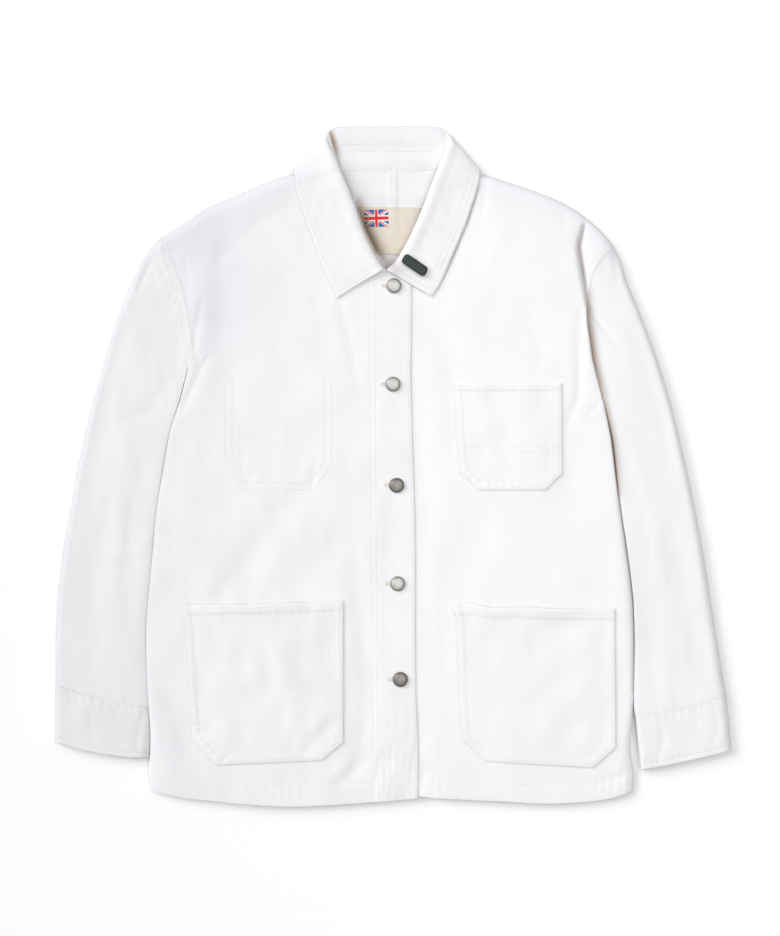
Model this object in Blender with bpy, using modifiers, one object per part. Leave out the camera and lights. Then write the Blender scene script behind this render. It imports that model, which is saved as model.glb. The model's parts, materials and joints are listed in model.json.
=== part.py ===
"""A white cotton work jacket, buttoned and laid flat on its back.

Millimetres in the tables, metres in the mesh. x runs to the right as seen from above, y from the hem
to the collar and z up from the surface it lies on. Left and right in the names are the wearer's, so
front_right is the front that laps on top and lies on the -x side.
"""

import math

import bmesh
import bpy
import numpy as np
from mathutils import Matrix, Vector
from mathutils.bvhtree import BVHTree

for old in list(bpy.data.objects):
    bpy.data.objects.remove(old, do_unlink=True)

# cloth
CLOTH = 1.2            # one layer of twill
DOUBLE = 2.0           # collar and cuffs: two layers pressed together
LAYER_GAP = 0.5        # air between a piece and the panel it lies on
SEAM_GAP = 0.3         # between two pieces at a seam
HALF_SEAM = SEAM_GAP / 2
EDGE_Z = 4.2           # height of the side seam, shoulder seam and sleeve edges
LIP = 0.8              # upright strip of cloth beside a seam at the edge
UNDER_ROLL = 8.0       # how far in the back curls up to the side seam
SIDE_ROLL = 26.0       # how far in a front rounds down to the side seam
SHOULDER_ROLL = 24.0
SLEEVE_ROLL = 22.0
CENTRE = (-0.5, 376.5)  # table x and y of the middle of the jacket

# body outline, hem to armpit, and armhole, armpit to shoulder point: (x, y)
SIDE_RIGHT = [(-268, 18), (-271, 42), (-268, 78), (-271, 141), (-272, 201), (-267, 262), (-260, 333),
              (-248, 405), (-235, 449), (-226, 484)]
SIDE_LEFT = [(263, 18), (264, 38), (260, 66), (263, 119), (264, 185), (262, 234), (255, 289),
             (246, 346), (239, 405), (230, 448)]
ARMHOLE_RIGHT = [(-226, 484), (-230, 513), (-234, 539), (-239, 564), (-247, 588), (-254, 607), (-257, 627)]
ARMHOLE_LEFT = [(230, 448), (219, 493), (213, 537), (214, 564), (221, 590), (233, 607), (242, 618)]
# shoulder seams as y over x, from the shoulder point to the neck
SHOULDER_RIGHT = [(-257, 627), (-231, 643.5), (-205, 660.5), (-169, 676), (-136, 690), (-118, 696),
                  (-104, 698), (-90, 699), (-62, 700)]
SHOULDER_LEFT = [(47, 700), (82, 699), (105, 695), (128, 688), (155, 679), (183, 667.5), (205, 654.5),
                 (227, 636), (242, 618)]
# hem as y over x
HEM_RIGHT = [(-268, 18), (-231, 10), (-196, 6), (-161, 2), (-108, 0), (-55, 3), (-20, 6), (26, 10)]
HEM_LEFT = [(-19, 12), (29, 12), (51, 10), (86, 8), (121, 6), (174, 3), (227, 7), (263, 18)]

# where the rows of a front end at the centre front and neck, one per armhole row
ARM_ROWS = [0, .02, .06, .14, .26, .40, .54, .68, .80, .90, .97, 1]
FRONT_END_RIGHT = [(18, 480), (18.6, 506), (19, 532), (19, 558), (19, 584), (-8, 591), (-22, 606),
                   (-36, 622), (-47, 645), (-55, 670), (-60, 690), (-62, 700)]
FRONT_END_LEFT = [(-19, 462), (-19, 494), (-19, 526), (-19, 558), (-19, 588), (-2, 595), (12, 608),
                  (25, 624), (35, 643), (42, 665), (46, 688), (47, 700)]
# centre front edges, hem to the row of the armpit
CENTRE_RIGHT = [(26, 10), (26, 75), (24, 119), (23, 185), (23, 273), (22, 339), (20, 405), (18, 480)]
CENTRE_LEFT = [(-19, 12), (-19, 75), (-20, 119), (-20, 185), (-20, 273), (-20, 339), (-19, 405), (-19, 462)]
ROWS_BELOW = [0, .035, .10, .19, .28, .38, .48, .58, .68, .78, .87, .95, 1]

# soft troughs (depth > 0) and ridges (depth < 0): x0, y0, x1, y1, half width, depth
FOLDS = [
    (-190, 612, -181, 455, 17, 2.2),
    (-103, 345, -191, 235, 19, 1.7),
    (-38, 300, -34, 100, 13, 1.3),
    (-128, 560, -118, 470, 18, 1.2),
    (-128, 250, -120, 130, 24, -1.2),
    (43, 556, 66, 452, 15, 1.6),
    (150, 560, 128, 500, 20, 1.1),
    (216, 641, 206, 617, 7, 3.5),
    (206, 617, 211, 575, 7, 4.0),
    (211, 575, 214, 540, 7, 3.0),
    (188, 420, 205, 300, 20, 1.6),
    (98, 330, 75, 250, 19, 1.3),
]

# right sleeve edges and left sleeve edges, armhole to cuff seam
SLEEVE_RIGHT_OUT = [(-257, 627), (-272, 610), (-283, 590), (-291.5, 570), (-304, 539), (-316, 500),
                    (-330, 451), (-339, 414), (-347, 378), (-353.5, 343), (-360, 308), (-367.5, 256),
                    (-372, 202), (-372.5, 136.5)]
SLEEVE_LEFT_OUT = [(242, 618), (250, 601), (258, 576), (274, 537), (290, 493), (304, 449), (315, 405),
                   (325, 361), (334, 317), (342, 273), (349, 229), (356, 185), (363, 141), (366, 125)]
# seam and hem of each cuff, inner end and outer end, and how far they bow towards the hand
CUFF_RIGHT = {"seam": [(-272, 112), (-372.5, 136.5)], "hem": [(-270.5, 55), (-373, 73)], "bow": (2.7, 4)}
CUFF_LEFT = {"seam": [(265, 100), (366, 125)], "hem": [(271, 42), (372, 64)], "bow": (1, 1)}
SLEEVE_ROWS = [0, .03, .075, .13, .20, .28, .36, .44, .52, .60, .68, .76, .84, .91, .96, 1]

# collar sections from the right front end round the back to the left front end: roll line, neck edge,
# middle of the fall and outer edge, each x, y; then "on" where it lies on the fronts, or the heights of the
# middle of the cloth at these four and which way it folds: 1 with the fall above the stand, -1 below
COLLAR = [
    # roll            neck edge      mid fall       outer edge      heights: roll, neck, mid, edge; fold
    ((-12, 591), (-19, 588), (-38, 576), (-63, 560), "on"),
    ((-19, 602), (-26, 599), (-45, 588), (-69, 575), "on"),
    ((-27, 617), (-34, 614), (-54, 604), (-79, 596), "on"),
    ((-36, 637), (-43, 635), (-64, 628), (-88, 622), "on"),
    ((-44, 662), (-50, 661), (-73, 654), (-98, 649), "on"),
    ((-54, 688), (-61, 685), (-82, 679), (-105, 674), "on"),
    ((-58.5, 699), (-57, 691.5), (-85, 690), (-107.5, 683), (13.8, 9.6, 13.9, 13.1, 1)),
    ((-64, 712), (-56, 698), (-88, 700), (-109, 692), (13.4, 7.8, 14.0, 12.6, 1)),
    ((-74, 735), (-55, 702), (-92, 719), (-109, 703), (10.0, 7.0, 10.0, 7.5, .8)),
    ((-69, 745), (-53, 702), (-88, 722), (-99, 703), (5.6, 6.2, 3.4, 2.2, -.8)),
    ((-58, 749), (-46, 702), (-70, 716), (-80, 686), (4.2, 5.9, 1.2, 1.2, -1)),
    ((-34, 750), (-34, 701), (-40, 716), (-45, 682), (3.7, 5.8, 1.2, 1.2, -1)),
    ((-7, 750), (-8, 700), (-7, 716), (-7, 681), (3.7, 5.8, 1.2, 1.2, -1)),
    ((20, 750), (18, 700), (24, 716), (30, 682), (3.7, 5.8, 1.2, 1.2, -1)),
    ((44, 749), (32, 702), (56, 716), (66, 686), (4.2, 5.9, 1.2, 1.2, -1)),
    ((56, 745), (40, 702), (74, 721), (84, 703), (5.6, 6.2, 3.4, 2.2, -.8)),
    ((61, 734), (42, 702), (78, 718), (94, 702), (10.0, 7.0, 10.0, 7.5, .8)),
    ((52.5, 712), (44.5, 698), (75, 700), (94, 691), (13.4, 7.8, 14.0, 12.6, 1)),
    ((47.5, 699), (46.2, 691.5), (72, 690), (91.5, 681), (13.8, 9.6, 13.9, 13.1, 1)),
    ((43, 688), (50, 685), (68, 678), (88, 670), "on"),
    ((33, 661), (40, 659), (60, 652), (80, 645), "on"),
    ((22, 636), (29, 634), (48, 624), (68, 616), "on"),
    ((12, 616), (18, 612), (38, 602), (57, 591), "on"),
    ((2, 600), (9, 597), (29, 586), (49, 574), "on"),
    ((-8, 591), (0, 588), (19, 575), (41, 562), "on"),
]

STAND_SHARE = 0.45     # of the way from the neck edge to the roll, where the stand ends
STAND_SEAM = 0.6       # wider than other seams, since it turns a tight corner
FOLD_RADIUS = 1.55     # of the middle of the cloth at the roll
COLLAR_ROWS = 49

# patch pockets: rows from the top edge down to the bottom edge, left x, y and right x, y
POCKETS = {
    "pocket_lower_right": {"on": "right", "rows": [(-235, 224, -56, 228), (-231, 200, -56, 205),
                                                   (-226, 118, -56, 118), (-223, 77, -56, 73),
                                                   (-197, 48, -80, 53)]},
    "pocket_lower_left": {"on": "left", "rows": [(63, 225, 242, 220), (68, 200, 242, 197),
                                                 (70, 120, 243, 112), (73, 77, 243, 67),
                                                 (100, 52, 218, 45)]},
    "pocket_chest": {"on": "left", "rows": [(64, 468, 183, 468), (66, 440, 184, 440),
                                            (68, 400, 184, 400), (71, 369, 184, 368),
                                            (92, 350, 166, 350)]},
}
INNER_POCKET = [(-184, 470, -70, 470), (-184, 440, -70, 440), (-184, 400, -71, 400), (-181, 379, -73, 379),
                (-164, 354, -88, 352)]
POCKET_ACROSS = 10

BUTTONS = [(0, 574), (-1, 466), (3, 355), (4, 247), (7, 142)]
BUTTON_PROFILE = [(0, 4.4), (4.2, 3.9), (7.3, 2.3), (8.3, 1.0), (7.7, 0.0), (2.0, 0.0)]
SHANK_RADIUS = 2.0
HOLE_HALF = 2.5
HOLE_LEFT = 13.5
HOLE_RIGHT = 3.2

LABEL = [(-40, 662, 29, 661), (-39, 636, 29, 634), (-38, 611, 29, 608)]
LABEL_THICK = 1.0
PIN = {"at": (22.5, 596.0), "long": 32.5, "wide": 13.2, "thick": 2.2, "corner": 5.6, "turn": -34.0}

COLOURS = {
    "cotton_twill": (0.86, 0.87, 0.88, 1, 0.9, 0.0),
    "button_metal": (0.62, 0.62, 0.60, 1, 0.35, 1.0),
    "label_cloth": (0.82, 0.79, 0.70, 1, 0.8, 0.0),
    "pin_enamel": (0.02, 0.09, 0.06, 1, 0.25, 0.1),
}

jacket = bpy.data.collections.new("work_jacket")
cutters = bpy.data.collections.new("cutters")
cutters.hide_render = True
bpy.context.scene.collection.children.link(jacket)
bpy.context.scene.collection.children.link(cutters)


def material(name):
    found = bpy.data.materials.get(name)
    if found:
        return found
    red, green, blue, alpha, rough, metal = COLOURS[name]
    found = bpy.data.materials.new(name)
    found.use_nodes = True
    shader = found.node_tree.nodes["Principled BSDF"]
    shader.inputs["Base Color"].default_value = (red, green, blue, alpha)
    shader.inputs["Roughness"].default_value = rough
    shader.inputs["Metallic"].default_value = metal
    found.diffuse_color = (red, green, blue, alpha)
    return found


def place(x, y, z):
    """Metres from the middle of the jacket's underside, from table millimetres."""
    return (x - CENTRE[0]) / 1000, (y - CENTRE[1]) / 1000, z / 1000


def smoothstep(value, low, high):
    t = np.clip((value - low) / (high - low), 0, 1)
    return t * t * (3 - 2 * t)


def round_over(distance, reach):
    """0 at the edge and 1 from `reach` on, along a quarter of an ellipse."""
    t = np.clip(distance / reach, 0, 1)
    return math.sqrt(1 - (1 - t) ** 2)


def along(points, fractions):
    """Points at these fractions of the length of a smooth curve through the table's points."""
    pts = np.array(points, float)
    ends = np.vstack([2 * pts[0] - pts[1], pts, 2 * pts[-1] - pts[-2]])
    fine = []
    for k in range(1, len(ends) - 2):
        a, b, c, d = ends[k - 1:k + 3]
        for t in np.linspace(0, 1, 24, endpoint=False):
            fine.append(b + 0.5 * t * (c - a + t * (2 * a - 5 * b + 4 * c - d + t * (3 * (b - c) + d - a))))
    fine = np.array(fine + [pts[-1]])
    run = np.r_[0, np.cumsum(np.linalg.norm(np.diff(fine, axis=0), axis=1))]
    want = np.asarray(fractions) * run[-1]
    return np.stack([np.interp(want, run, fine[:, k]) for k in range(fine.shape[1])], axis=1)


def over(points, x):
    """y of a table of (x, y) at x, smoothly."""
    fine = along(points, np.linspace(0, 1, 160))
    order = np.argsort(fine[:, 0])
    return np.interp(x, fine[order, 0], fine[order, 1])


def fold_depth(x, y):
    total = 0.0
    for x0, y0, x1, y1, half, depth in FOLDS:
        dx, dy = x1 - x0, y1 - y0
        length = math.hypot(dx, dy)
        t = ((x - x0) * dx + (y - y0) * dy) / length ** 2
        across = ((x - x0) * dy - (y - y0) * dx) / length
        beyond = max(0.0, -t, t - 1) * length
        total += depth * math.exp(-(across / half) ** 2 - (beyond / (1.3 * half)) ** 2)
    return total


def swell(x, y):
    """Height of the top of the cloth over the body where it isn't rounding down to an edge."""
    high = 12.2 + 1.5 * math.exp(-((x + 140) / 75) ** 2) + 1.5 * math.exp(-((x - 140) / 75) ** 2)
    high -= 3.6 * math.exp(-(y / 55) ** 2)
    high -= 1.4 * smoothstep(y, 540, 620) * (1 - smoothstep(abs(x + 8), 90, 130))
    return high - fold_depth(x, y)


def top_right(x, y):
    """The right front, with its placket a little proud."""
    return swell(x, y) + 0.5 * smoothstep(x, -26, -21)


def top_left(x, y):
    """The left front, which dips under the right front's placket."""
    under = top_right(x, y) - CLOTH - LAYER_GAP
    share = smoothstep(x, 27, 52)
    return under * (1 - share) + swell(x, y) * share


def collar_rise(x, y):
    """How far the back is lifted by the collar folded under it."""
    return 2.8 * smoothstep(y, 655, 678) * (1 - smoothstep(abs(x + 7.5), 104, 132))


def armhole_share(s, length, low):
    """Share of the full height that the armhole seam has, 0 at the armpit."""
    rise = round_over(s * length, 16)
    dip = low + (0.86 - low) * smoothstep(s, 0.45, 0.8)
    return rise * dip


def grid_mesh(name, grid, closed, flip):
    """Quads over a grid of points in millimetres; `closed` joins the last column to the first."""
    rows, cols = grid.shape[:2]
    verts = [place(*point) for point in grid.reshape(-1, 3)]
    faces = []
    for i in range(rows - 1):
        for j in range(cols if closed else cols - 1):
            k = (j + 1) % cols
            a, b, c, d = i * cols + j, i * cols + k, (i + 1) * cols + k, (i + 1) * cols + j
            faces += [(c, b, a), (d, c, a)] if flip else [(a, b, c), (a, c, d)]
    mesh = bpy.data.meshes.new(name)
    mesh.from_pydata(verts, [], faces)
    mesh.update()
    return mesh


def cloth(name, grid, closed=False, flip=False, thick=CLOTH, side=-1.0, slot="cotton_twill"):
    """A sheet through the grid's points given its thickness: side -1 adds it inwards, 1 outwards."""
    obj = bpy.data.objects.new(name, grid_mesh(name, grid, closed, flip))
    jacket.objects.link(obj)
    wall = obj.modifiers.new("wall", "SOLIDIFY")
    wall.thickness = thick / 1000
    wall.offset = side
    obj.data.materials.append(material(slot))
    for face in obj.data.polygons:
        face.use_smooth = True
    return obj


def outward(grid, closed):
    """Unit normals at the grid's points, right-handed from rows to columns."""
    down = np.gradient(grid, axis=0)
    if closed:
        ring = np.concatenate([grid[:, -1:], grid, grid[:, :1]], axis=1)
        across = np.gradient(ring, axis=1)[:, 1:-1]
    else:
        across = np.gradient(grid, axis=1)
    normals = np.cross(across, down)
    return normals / np.maximum(np.linalg.norm(normals, axis=2, keepdims=True), 1e-9)


def plan_normal(tangent):
    """Level direction square to a line seen from above."""
    n = np.array([tangent[1], -tangent[0], 0.0])
    return n / max(np.linalg.norm(n), 1e-9)


def wall(name, outer, normals, thick, closed=False, slot="cotton_twill"):
    """A closed cloth wall: the outer grid, the same grid moved in along the normals, and its rims."""
    rows, cols = outer.shape[:2]
    inner = outer - normals * thick
    verts = [place(*point) for point in np.concatenate([outer.reshape(-1, 3), inner.reshape(-1, 3)])]
    n = rows * cols
    faces = []
    span = cols if closed else cols - 1
    for i in range(rows - 1):
        for j in range(span):
            k = (j + 1) % cols
            a, b, c, d = i * cols + j, i * cols + k, (i + 1) * cols + k, (i + 1) * cols + j
            faces += [(a, b, c), (a, c, d), (n + c, n + b, n + a), (n + d, n + c, n + a)]
    for j in range(span):
        k = (j + 1) % cols
        top = (rows - 1) * cols
        faces += [(j, n + j, n + k), (j, n + k, k)]
        faces += [(top + j, n + top + k, n + top + j), (top + j, top + k, n + top + k)]
    if not closed:
        for i in range(rows - 1):
            a, d = i * cols, (i + 1) * cols
            b, c = a + cols - 1, d + cols - 1
            faces += [(a, n + d, n + a), (a, d, n + d), (b, n + b, n + c), (b, n + c, c)]
    mesh = bpy.data.meshes.new(name)
    mesh.from_pydata(verts, [], faces)
    bm = bmesh.new()
    bm.from_mesh(mesh)
    bmesh.ops.recalc_face_normals(bm, faces=bm.faces)
    bm.to_mesh(mesh)
    bm.free()
    obj = bpy.data.objects.new(name, mesh)
    jacket.objects.link(obj)
    obj.data.materials.append(material(slot))
    for face in obj.data.polygons:
        face.use_smooth = True
    return obj


# armhole seams: the points both panels and the sleeve share
class Side:
    def __init__(self, sign, side, armhole, low):
        self.sign = sign
        self.below = along(side, ROWS_BELOW)
        self.arm = along(armhole, ARM_ROWS)
        self.length = np.linalg.norm(np.diff(along(armhole, np.linspace(0, 1, 60)), axis=0), axis=1).sum()
        self.low = low
        self.edge = np.vstack([self.below, self.arm[1:]])
        self.share = [0.0] * len(ROWS_BELOW) + [armhole_share(s, self.length, low) for s in ARM_ROWS[1:]]


right = Side(-1, SIDE_RIGHT, ARMHOLE_RIGHT, 0.72)
left = Side(1, SIDE_LEFT, ARMHOLE_LEFT, 0.22)
BELOW = len(ROWS_BELOW)


def front_panel(side, centre, ends, hem, shoulder, top, seam_cols, mid_cols, end_cols):
    """Rows from the hem to the shoulder, each from the side seam or armhole to the centre front or neck."""
    inner = np.vstack([along(centre, ROWS_BELOW), np.array(ends[1:], float)])
    rows = len(side.edge)
    hem_a, hem_b = side.edge[0], inner[0]
    top_a, top_b = side.edge[-1], inner[-1]
    grid = np.zeros((rows + 1, len(seam_cols) + mid_cols + len(end_cols), 3))
    for i in range(rows):
        a, b = side.edge[i].copy(), inner[i]
        on_arm = i >= BELOW
        if on_arm:
            a[0] -= side.sign * HALF_SEAM
        length = np.linalg.norm(b - a)
        near = [d if d > 0 or not on_arm else 0.0 for d in seam_cols]
        if on_arm:
            near[1] = 1.0
        first = near[-1] / length
        last = 1 - end_cols[0] / length
        us = [d / length for d in near]
        us += list(np.linspace(first, last, mid_cols + 2)[1:-1])
        us += [1 - d / length for d in end_cols]
        s = 0 if i < BELOW else ARM_ROWS[i - BELOW + 1]
        for j, u in enumerate(us):
            p = (1 - u) * a + u * b
            low = 1 - min(1, p[1] / 190)
            chord = (1 - u) * hem_a + u * hem_b
            p = p + np.array([0, (over(hem, chord[0]) - chord[1]) * low ** 2])
            chord = (1 - u) * top_a + u * top_b
            p = p + np.array([0, (over(shoulder, chord[0]) - chord[1]) * s ** 2])
            grid[i, j, :2] = p
    grid[rows] = grid[rows - 1]
    for i in range(rows + 1):
        k = min(i, rows - 1)
        for j in range(grid.shape[1]):
            x, y = grid[i, j, :2]
            if i == rows or (j == 0 and i < BELOW):
                grid[i, j, 2] = EDGE_Z + HALF_SEAM
                continue
            in_from_side = np.linalg.norm(grid[k, j, :2] - grid[k, 0, :2])
            in_from_top = np.linalg.norm(grid[k, j, :2] - grid[rows, j, :2])
            part = side.share[k] + (1 - side.share[k]) * round_over(in_from_side, SIDE_ROLL)
            part *= round_over(in_from_top, SHOULDER_ROLL)
            base = EDGE_Z + HALF_SEAM + LIP
            grid[i, j, 2] = base + (top(x, y) - base) * part
    return grid


grids = {}
grids["front_right"] = front_panel(right, CENTRE_RIGHT, FRONT_END_RIGHT, HEM_RIGHT, SHOULDER_RIGHT, top_right,
                                   [0, 0, 2.5, 7, 13, 21, 31], 7, [47, 43, 22, 0])
grids["front_left"] = front_panel(left, CENTRE_LEFT, FRONT_END_LEFT, HEM_LEFT, SHOULDER_LEFT, top_left,
                                  [0, 0, 2.5, 7, 13, 21, 31], 6, [76, 60, 46, 23, 0])


def panel_normals(grid, ends, down=False):
    """Normals of a panel, level at the side and shoulder seams and in the seam's own plane at the armholes.
    `ends` gives each seam side's sign, from the first column to the last, or None for a free edge."""
    normals = outward(grid, False)
    if (normals[len(normals) // 2, normals.shape[1] // 2, 2] < 0) != down:
        normals = -normals
    rows, cols = grid.shape[:2]
    for j in range(cols):
        # the shoulder seam's strip stands upright
        side = grid[rows - 1, min(j + 1, cols - 1)] - grid[rows - 1, max(j - 1, 0)]
        level = plan_normal(side)
        level = level if level[1] > 0 else -level
        strip = abs(grid[rows - 1, j, 2] - grid[rows - 2, j, 2]) > 0.3
        if strip:
            normals[rows - 1, j] = level
            below = normals[rows - 3, j] + 1.2 * level
            normals[rows - 2, j] = below / np.linalg.norm(below)
    for col, sign in zip((0, cols - 1), ends):
        if sign is None:
            continue
        for i in range(rows):
            low, high = max(i - 1, 0), min(i + 1, rows - 2)
            if i == BELOW - 1:
                high = i
            if i >= rows - 2:
                low, high = rows - 3, rows - 2
            level = plan_normal(grid[high, col] - grid[low, col])
            level = level if level[0] * sign > 0 else -level
            if i < BELOW:
                normals[i, col] = level
                step = 1 if col == 0 else -1
                edge = normals[i, col + 2 * step] + 1.2 * level
                normals[i, col + step] = edge / np.linalg.norm(edge)
            elif i < rows - 1:
                flat = normals[i, col] - level * np.dot(normals[i, col], level)
                normals[i, col] = flat / np.linalg.norm(flat)
    return normals


wall("front_right", grids["front_right"], panel_normals(grids["front_right"], (-1, None)), CLOTH)
wall("front_left", grids["front_left"], panel_normals(grids["front_left"], (1, None)), CLOTH)


def back_panel():
    """Rows from the hem to the shoulders and neck; its outer face lies on the table."""
    shoulder = SHOULDER_RIGHT[:-1] + [(-62, 704), (-20, 706), (8, 706), (47, 704)] + SHOULDER_LEFT[1:]
    hem = [(x, y + 2.0) for x, y in HEM_RIGHT[:-1] + HEM_LEFT[1:]]
    near = [0, 0, 1.2, 4, 8]
    mid = 9
    rows = len(right.edge)
    grid = np.zeros((rows + 1, 2 * len(near) + mid, 3))
    for i in range(rows):
        a, b = right.edge[i].copy(), left.edge[i].copy()
        on_arm = i >= BELOW
        if on_arm:
            a[0] += HALF_SEAM
            b[0] -= HALF_SEAM
        length = np.linalg.norm(b - a)
        dists = list(near)
        if on_arm:
            dists[1] = 0.6
        us = [d / length for d in dists]
        us += list(np.linspace(us[-1], 1 - us[-1], mid + 2)[1:-1])
        us += [1 - d / length for d in dists[::-1]]
        s = 0 if i < BELOW else ARM_ROWS[i - BELOW + 1]
        for j, u in enumerate(us):
            p = (1 - u) * a + u * b
            low = 1 - min(1, p[1] / 190)
            chord = (1 - u) * right.edge[0] + u * left.edge[0]
            p = p + np.array([0, (over(hem, chord[0]) - chord[1]) * low ** 2])
            chord = (1 - u) * right.edge[-1] + u * left.edge[-1]
            p = p + np.array([0, (over(shoulder, chord[0]) - chord[1]) * s ** 1.5])
            grid[i, j, :2] = p
    grid[rows] = grid[rows - 1]
    last = grid.shape[1] - 1
    for i in range(rows + 1):
        k = min(i, rows - 1)
        on_arm = k >= BELOW
        s = 0 if not on_arm else ARM_ROWS[k - BELOW + 1]
        for j in range(last + 1):
            x, y = grid[i, j, :2]
            rise = collar_rise(x, y)
            neck = 1 - smoothstep(abs(x + 7.5), 50, 66)
            from_a = np.linalg.norm(grid[k, j, :2] - grid[k, 0, :2])
            from_b = np.linalg.norm(grid[k, j, :2] - grid[k, last, :2])
            edge_a, edge_b = (0, 0) if not on_arm else (
                round_over(s * right.length, UNDER_ROLL), round_over(s * left.length, UNDER_ROLL))
            part = (edge_a + (1 - edge_a) * round_over(from_a, UNDER_ROLL))
            part *= (edge_b + (1 - edge_b) * round_over(from_b, UNDER_ROLL))
            from_top = np.linalg.norm(grid[k, j, :2] - grid[rows, j, :2])
            part *= 1 - (1 - neck) * (1 - round_over(from_top, UNDER_ROLL))
            top = EDGE_Z - HALF_SEAM
            if (j in (0, last) and not on_arm) or i == rows:
                grid[i, j, 2] = top * (1 - neck) + (rise + LIP) * neck if i == rows else top
            else:
                grid[i, j, 2] = rise + (max(top - LIP, rise) - rise) * (1 - part)
    return grid


grids["back"] = back_panel()
wall("back", grids["back"], panel_normals(grids["back"], (-1, 1), down=True), CLOTH)


def tube_ring(a, b, bow, top_z, under_z):
    """Points round a flattened tube between edges a and b: over the top from a to b, then back under."""
    across = np.array([-(b - a)[1], (b - a)[0]])
    across = across / np.linalg.norm(across)
    plan = [(1 - s) * a + s * b + across * bow * 4 * s * (1 - s) for s in ARM_ROWS]
    top = [(*p, z) for p, z in zip(plan, top_z)]
    under = [(*p, z) for p, z in zip(plan, under_z)]
    return top + under[-2:0:-1]


def flat_tube(width, high, roll, under_roll=UNDER_ROLL, low=0.0, edge=EDGE_Z):
    """Heights over and under a flattened tube at the shared fractions of its width."""
    top, under = [], []
    for s in ARM_ROWS:
        d = min(s, 1 - s) * width
        top.append(edge + (high - edge) * round_over(d, roll))
        under.append(low + (edge - low) * (1 - round_over(d, under_roll)))
    return top, under


def sleeve(side, outer, inner_edge, cuff, panel):
    """Rings from the armhole seam to the cuff seam."""
    out = along(outer, SLEEVE_ROWS)
    # the inner edge runs beside the body, a little apart
    start = inner_edge[-1]
    run = [p for p in inner_edge[::-1] if p[1] >= cuff["seam"][0][1]]
    if run[-1][1] > cuff["seam"][0][1] + 2:
        run.append(cuff["seam"][0])
    shifted = [(x + side.sign * 1.1, y) for x, y in run]
    shifted[0] = (start[0] + side.sign * HALF_SEAM, start[1])
    ins = along(shifted, SLEEVE_ROWS)
    seam_plan = side.arm + np.array([side.sign * HALF_SEAM, 0])
    seam_top = [EDGE_Z] + [panel[BELOW + k, 0, 2] for k in range(len(ARM_ROWS) - 1)]
    seam_top[-1] = EDGE_Z
    rings = []
    for i, f in enumerate(SLEEVE_ROWS):
        a, b = ins[i], out[i]
        width = np.linalg.norm(b - a)
        high = 14.0 - 1.0 * smoothstep(f, 0.5, 0.95) - 1.2 * math.exp(-(f / 0.05) ** 2)
        top, under = flat_tube(width, high, SLEEVE_ROLL)
        bow = cuff["bow"][0] * side.sign * -1 * smoothstep(f, 0.8, 1)
        ring = np.array(tube_ring(a, b, bow, top, under))
        keep = math.exp(-(f / 0.09) ** 2) if i else 1.0
        count = len(ARM_ROWS)
        for k in range(count):
            chord = (1 - ARM_ROWS[k]) * side.arm[0] + ARM_ROWS[k] * side.arm[-1]
            off = side.arm[k] - chord
            ring[k, :2] += off * keep
            if 0 < k < count - 1:
                ring[2 * count - 2 - k, :2] += off * keep
            ring[k, 2] = ring[k, 2] * (1 - keep) + seam_top[k] * keep
        rings.append(ring)
    first = rings[0]
    for k in range(len(ARM_ROWS)):
        first[k, :2] = seam_plan[k]
        if 0 < k < len(ARM_ROWS) - 1:
            first[2 * len(ARM_ROWS) - 2 - k, :2] = seam_plan[k]
    return np.array(rings)


def cuff_band(side, cuff):
    a0, b0 = (np.array(p, float) for p in cuff["seam"])
    a1, b1 = (np.array(p, float) for p in cuff["hem"])
    shift = np.array([side.sign * 1.1, 0])
    rings = []
    for i, f in enumerate([0, .08, .35, .65, .92, 1]):
        a = a0 * (1 - f) + a1 * f + shift
        b = b0 * (1 - f) + b1 * f + shift * 0.3
        if i == 0:
            a, b = a - np.array([0, SEAM_GAP]), b - np.array([0, SEAM_GAP])
        bow = cuff["bow"][0] * (1 - f) + cuff["bow"][1] * f
        high = 13.4 - 1.4 * f - (0.5 if i in (0, 5) else 0)
        top, under = flat_tube(np.linalg.norm(b - a), high, SLEEVE_ROLL - 4)
        rings.append(tube_ring(a, b, bow * side.sign * -1, top, under))
    return np.array(rings)


def tube_normals(rings, side=None):
    """Normals of a tube; at the armhole they lie in the seam's own plane."""
    normals = outward(rings, True)
    if normals[len(rings) // 2, len(ARM_ROWS) // 2, 2] < 0:
        normals = -normals
    if side is not None:
        count, total = len(ARM_ROWS), rings.shape[1]
        for k in range(total):
            m = k if k < count else total - k
            low, high = max(m - 1, 0), min(m + 1, count - 1)
            run = side.arm[high] - side.arm[low]
            level = plan_normal((*run, 0))
            flat = normals[0, k] - level * np.dot(normals[0, k], level)
            if k in (0, count - 1):
                flat = np.array([*run, 0.0]) * (-1 if k == 0 else 1)
            normals[0, k] = flat / np.linalg.norm(flat)
    return normals


for name, side, outer, inner_edge, cuff, panel in (
    ("right", right, SLEEVE_RIGHT_OUT, SIDE_RIGHT, CUFF_RIGHT, "front_right"),
    ("left", left, SLEEVE_LEFT_OUT, SIDE_LEFT, CUFF_LEFT, "front_left"),
):
    grids[f"sleeve_{name}"] = sleeve(side, outer, inner_edge, cuff, grids[panel])
    grids[f"cuff_{name}"] = cuff_band(side, cuff)
    wall(f"sleeve_{name}", grids[f"sleeve_{name}"], tube_normals(grids[f"sleeve_{name}"], side), CLOTH, True)
    wall(f"cuff_{name}", grids[f"cuff_{name}"], tube_normals(grids[f"cuff_{name}"]), DOUBLE, True)


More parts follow.
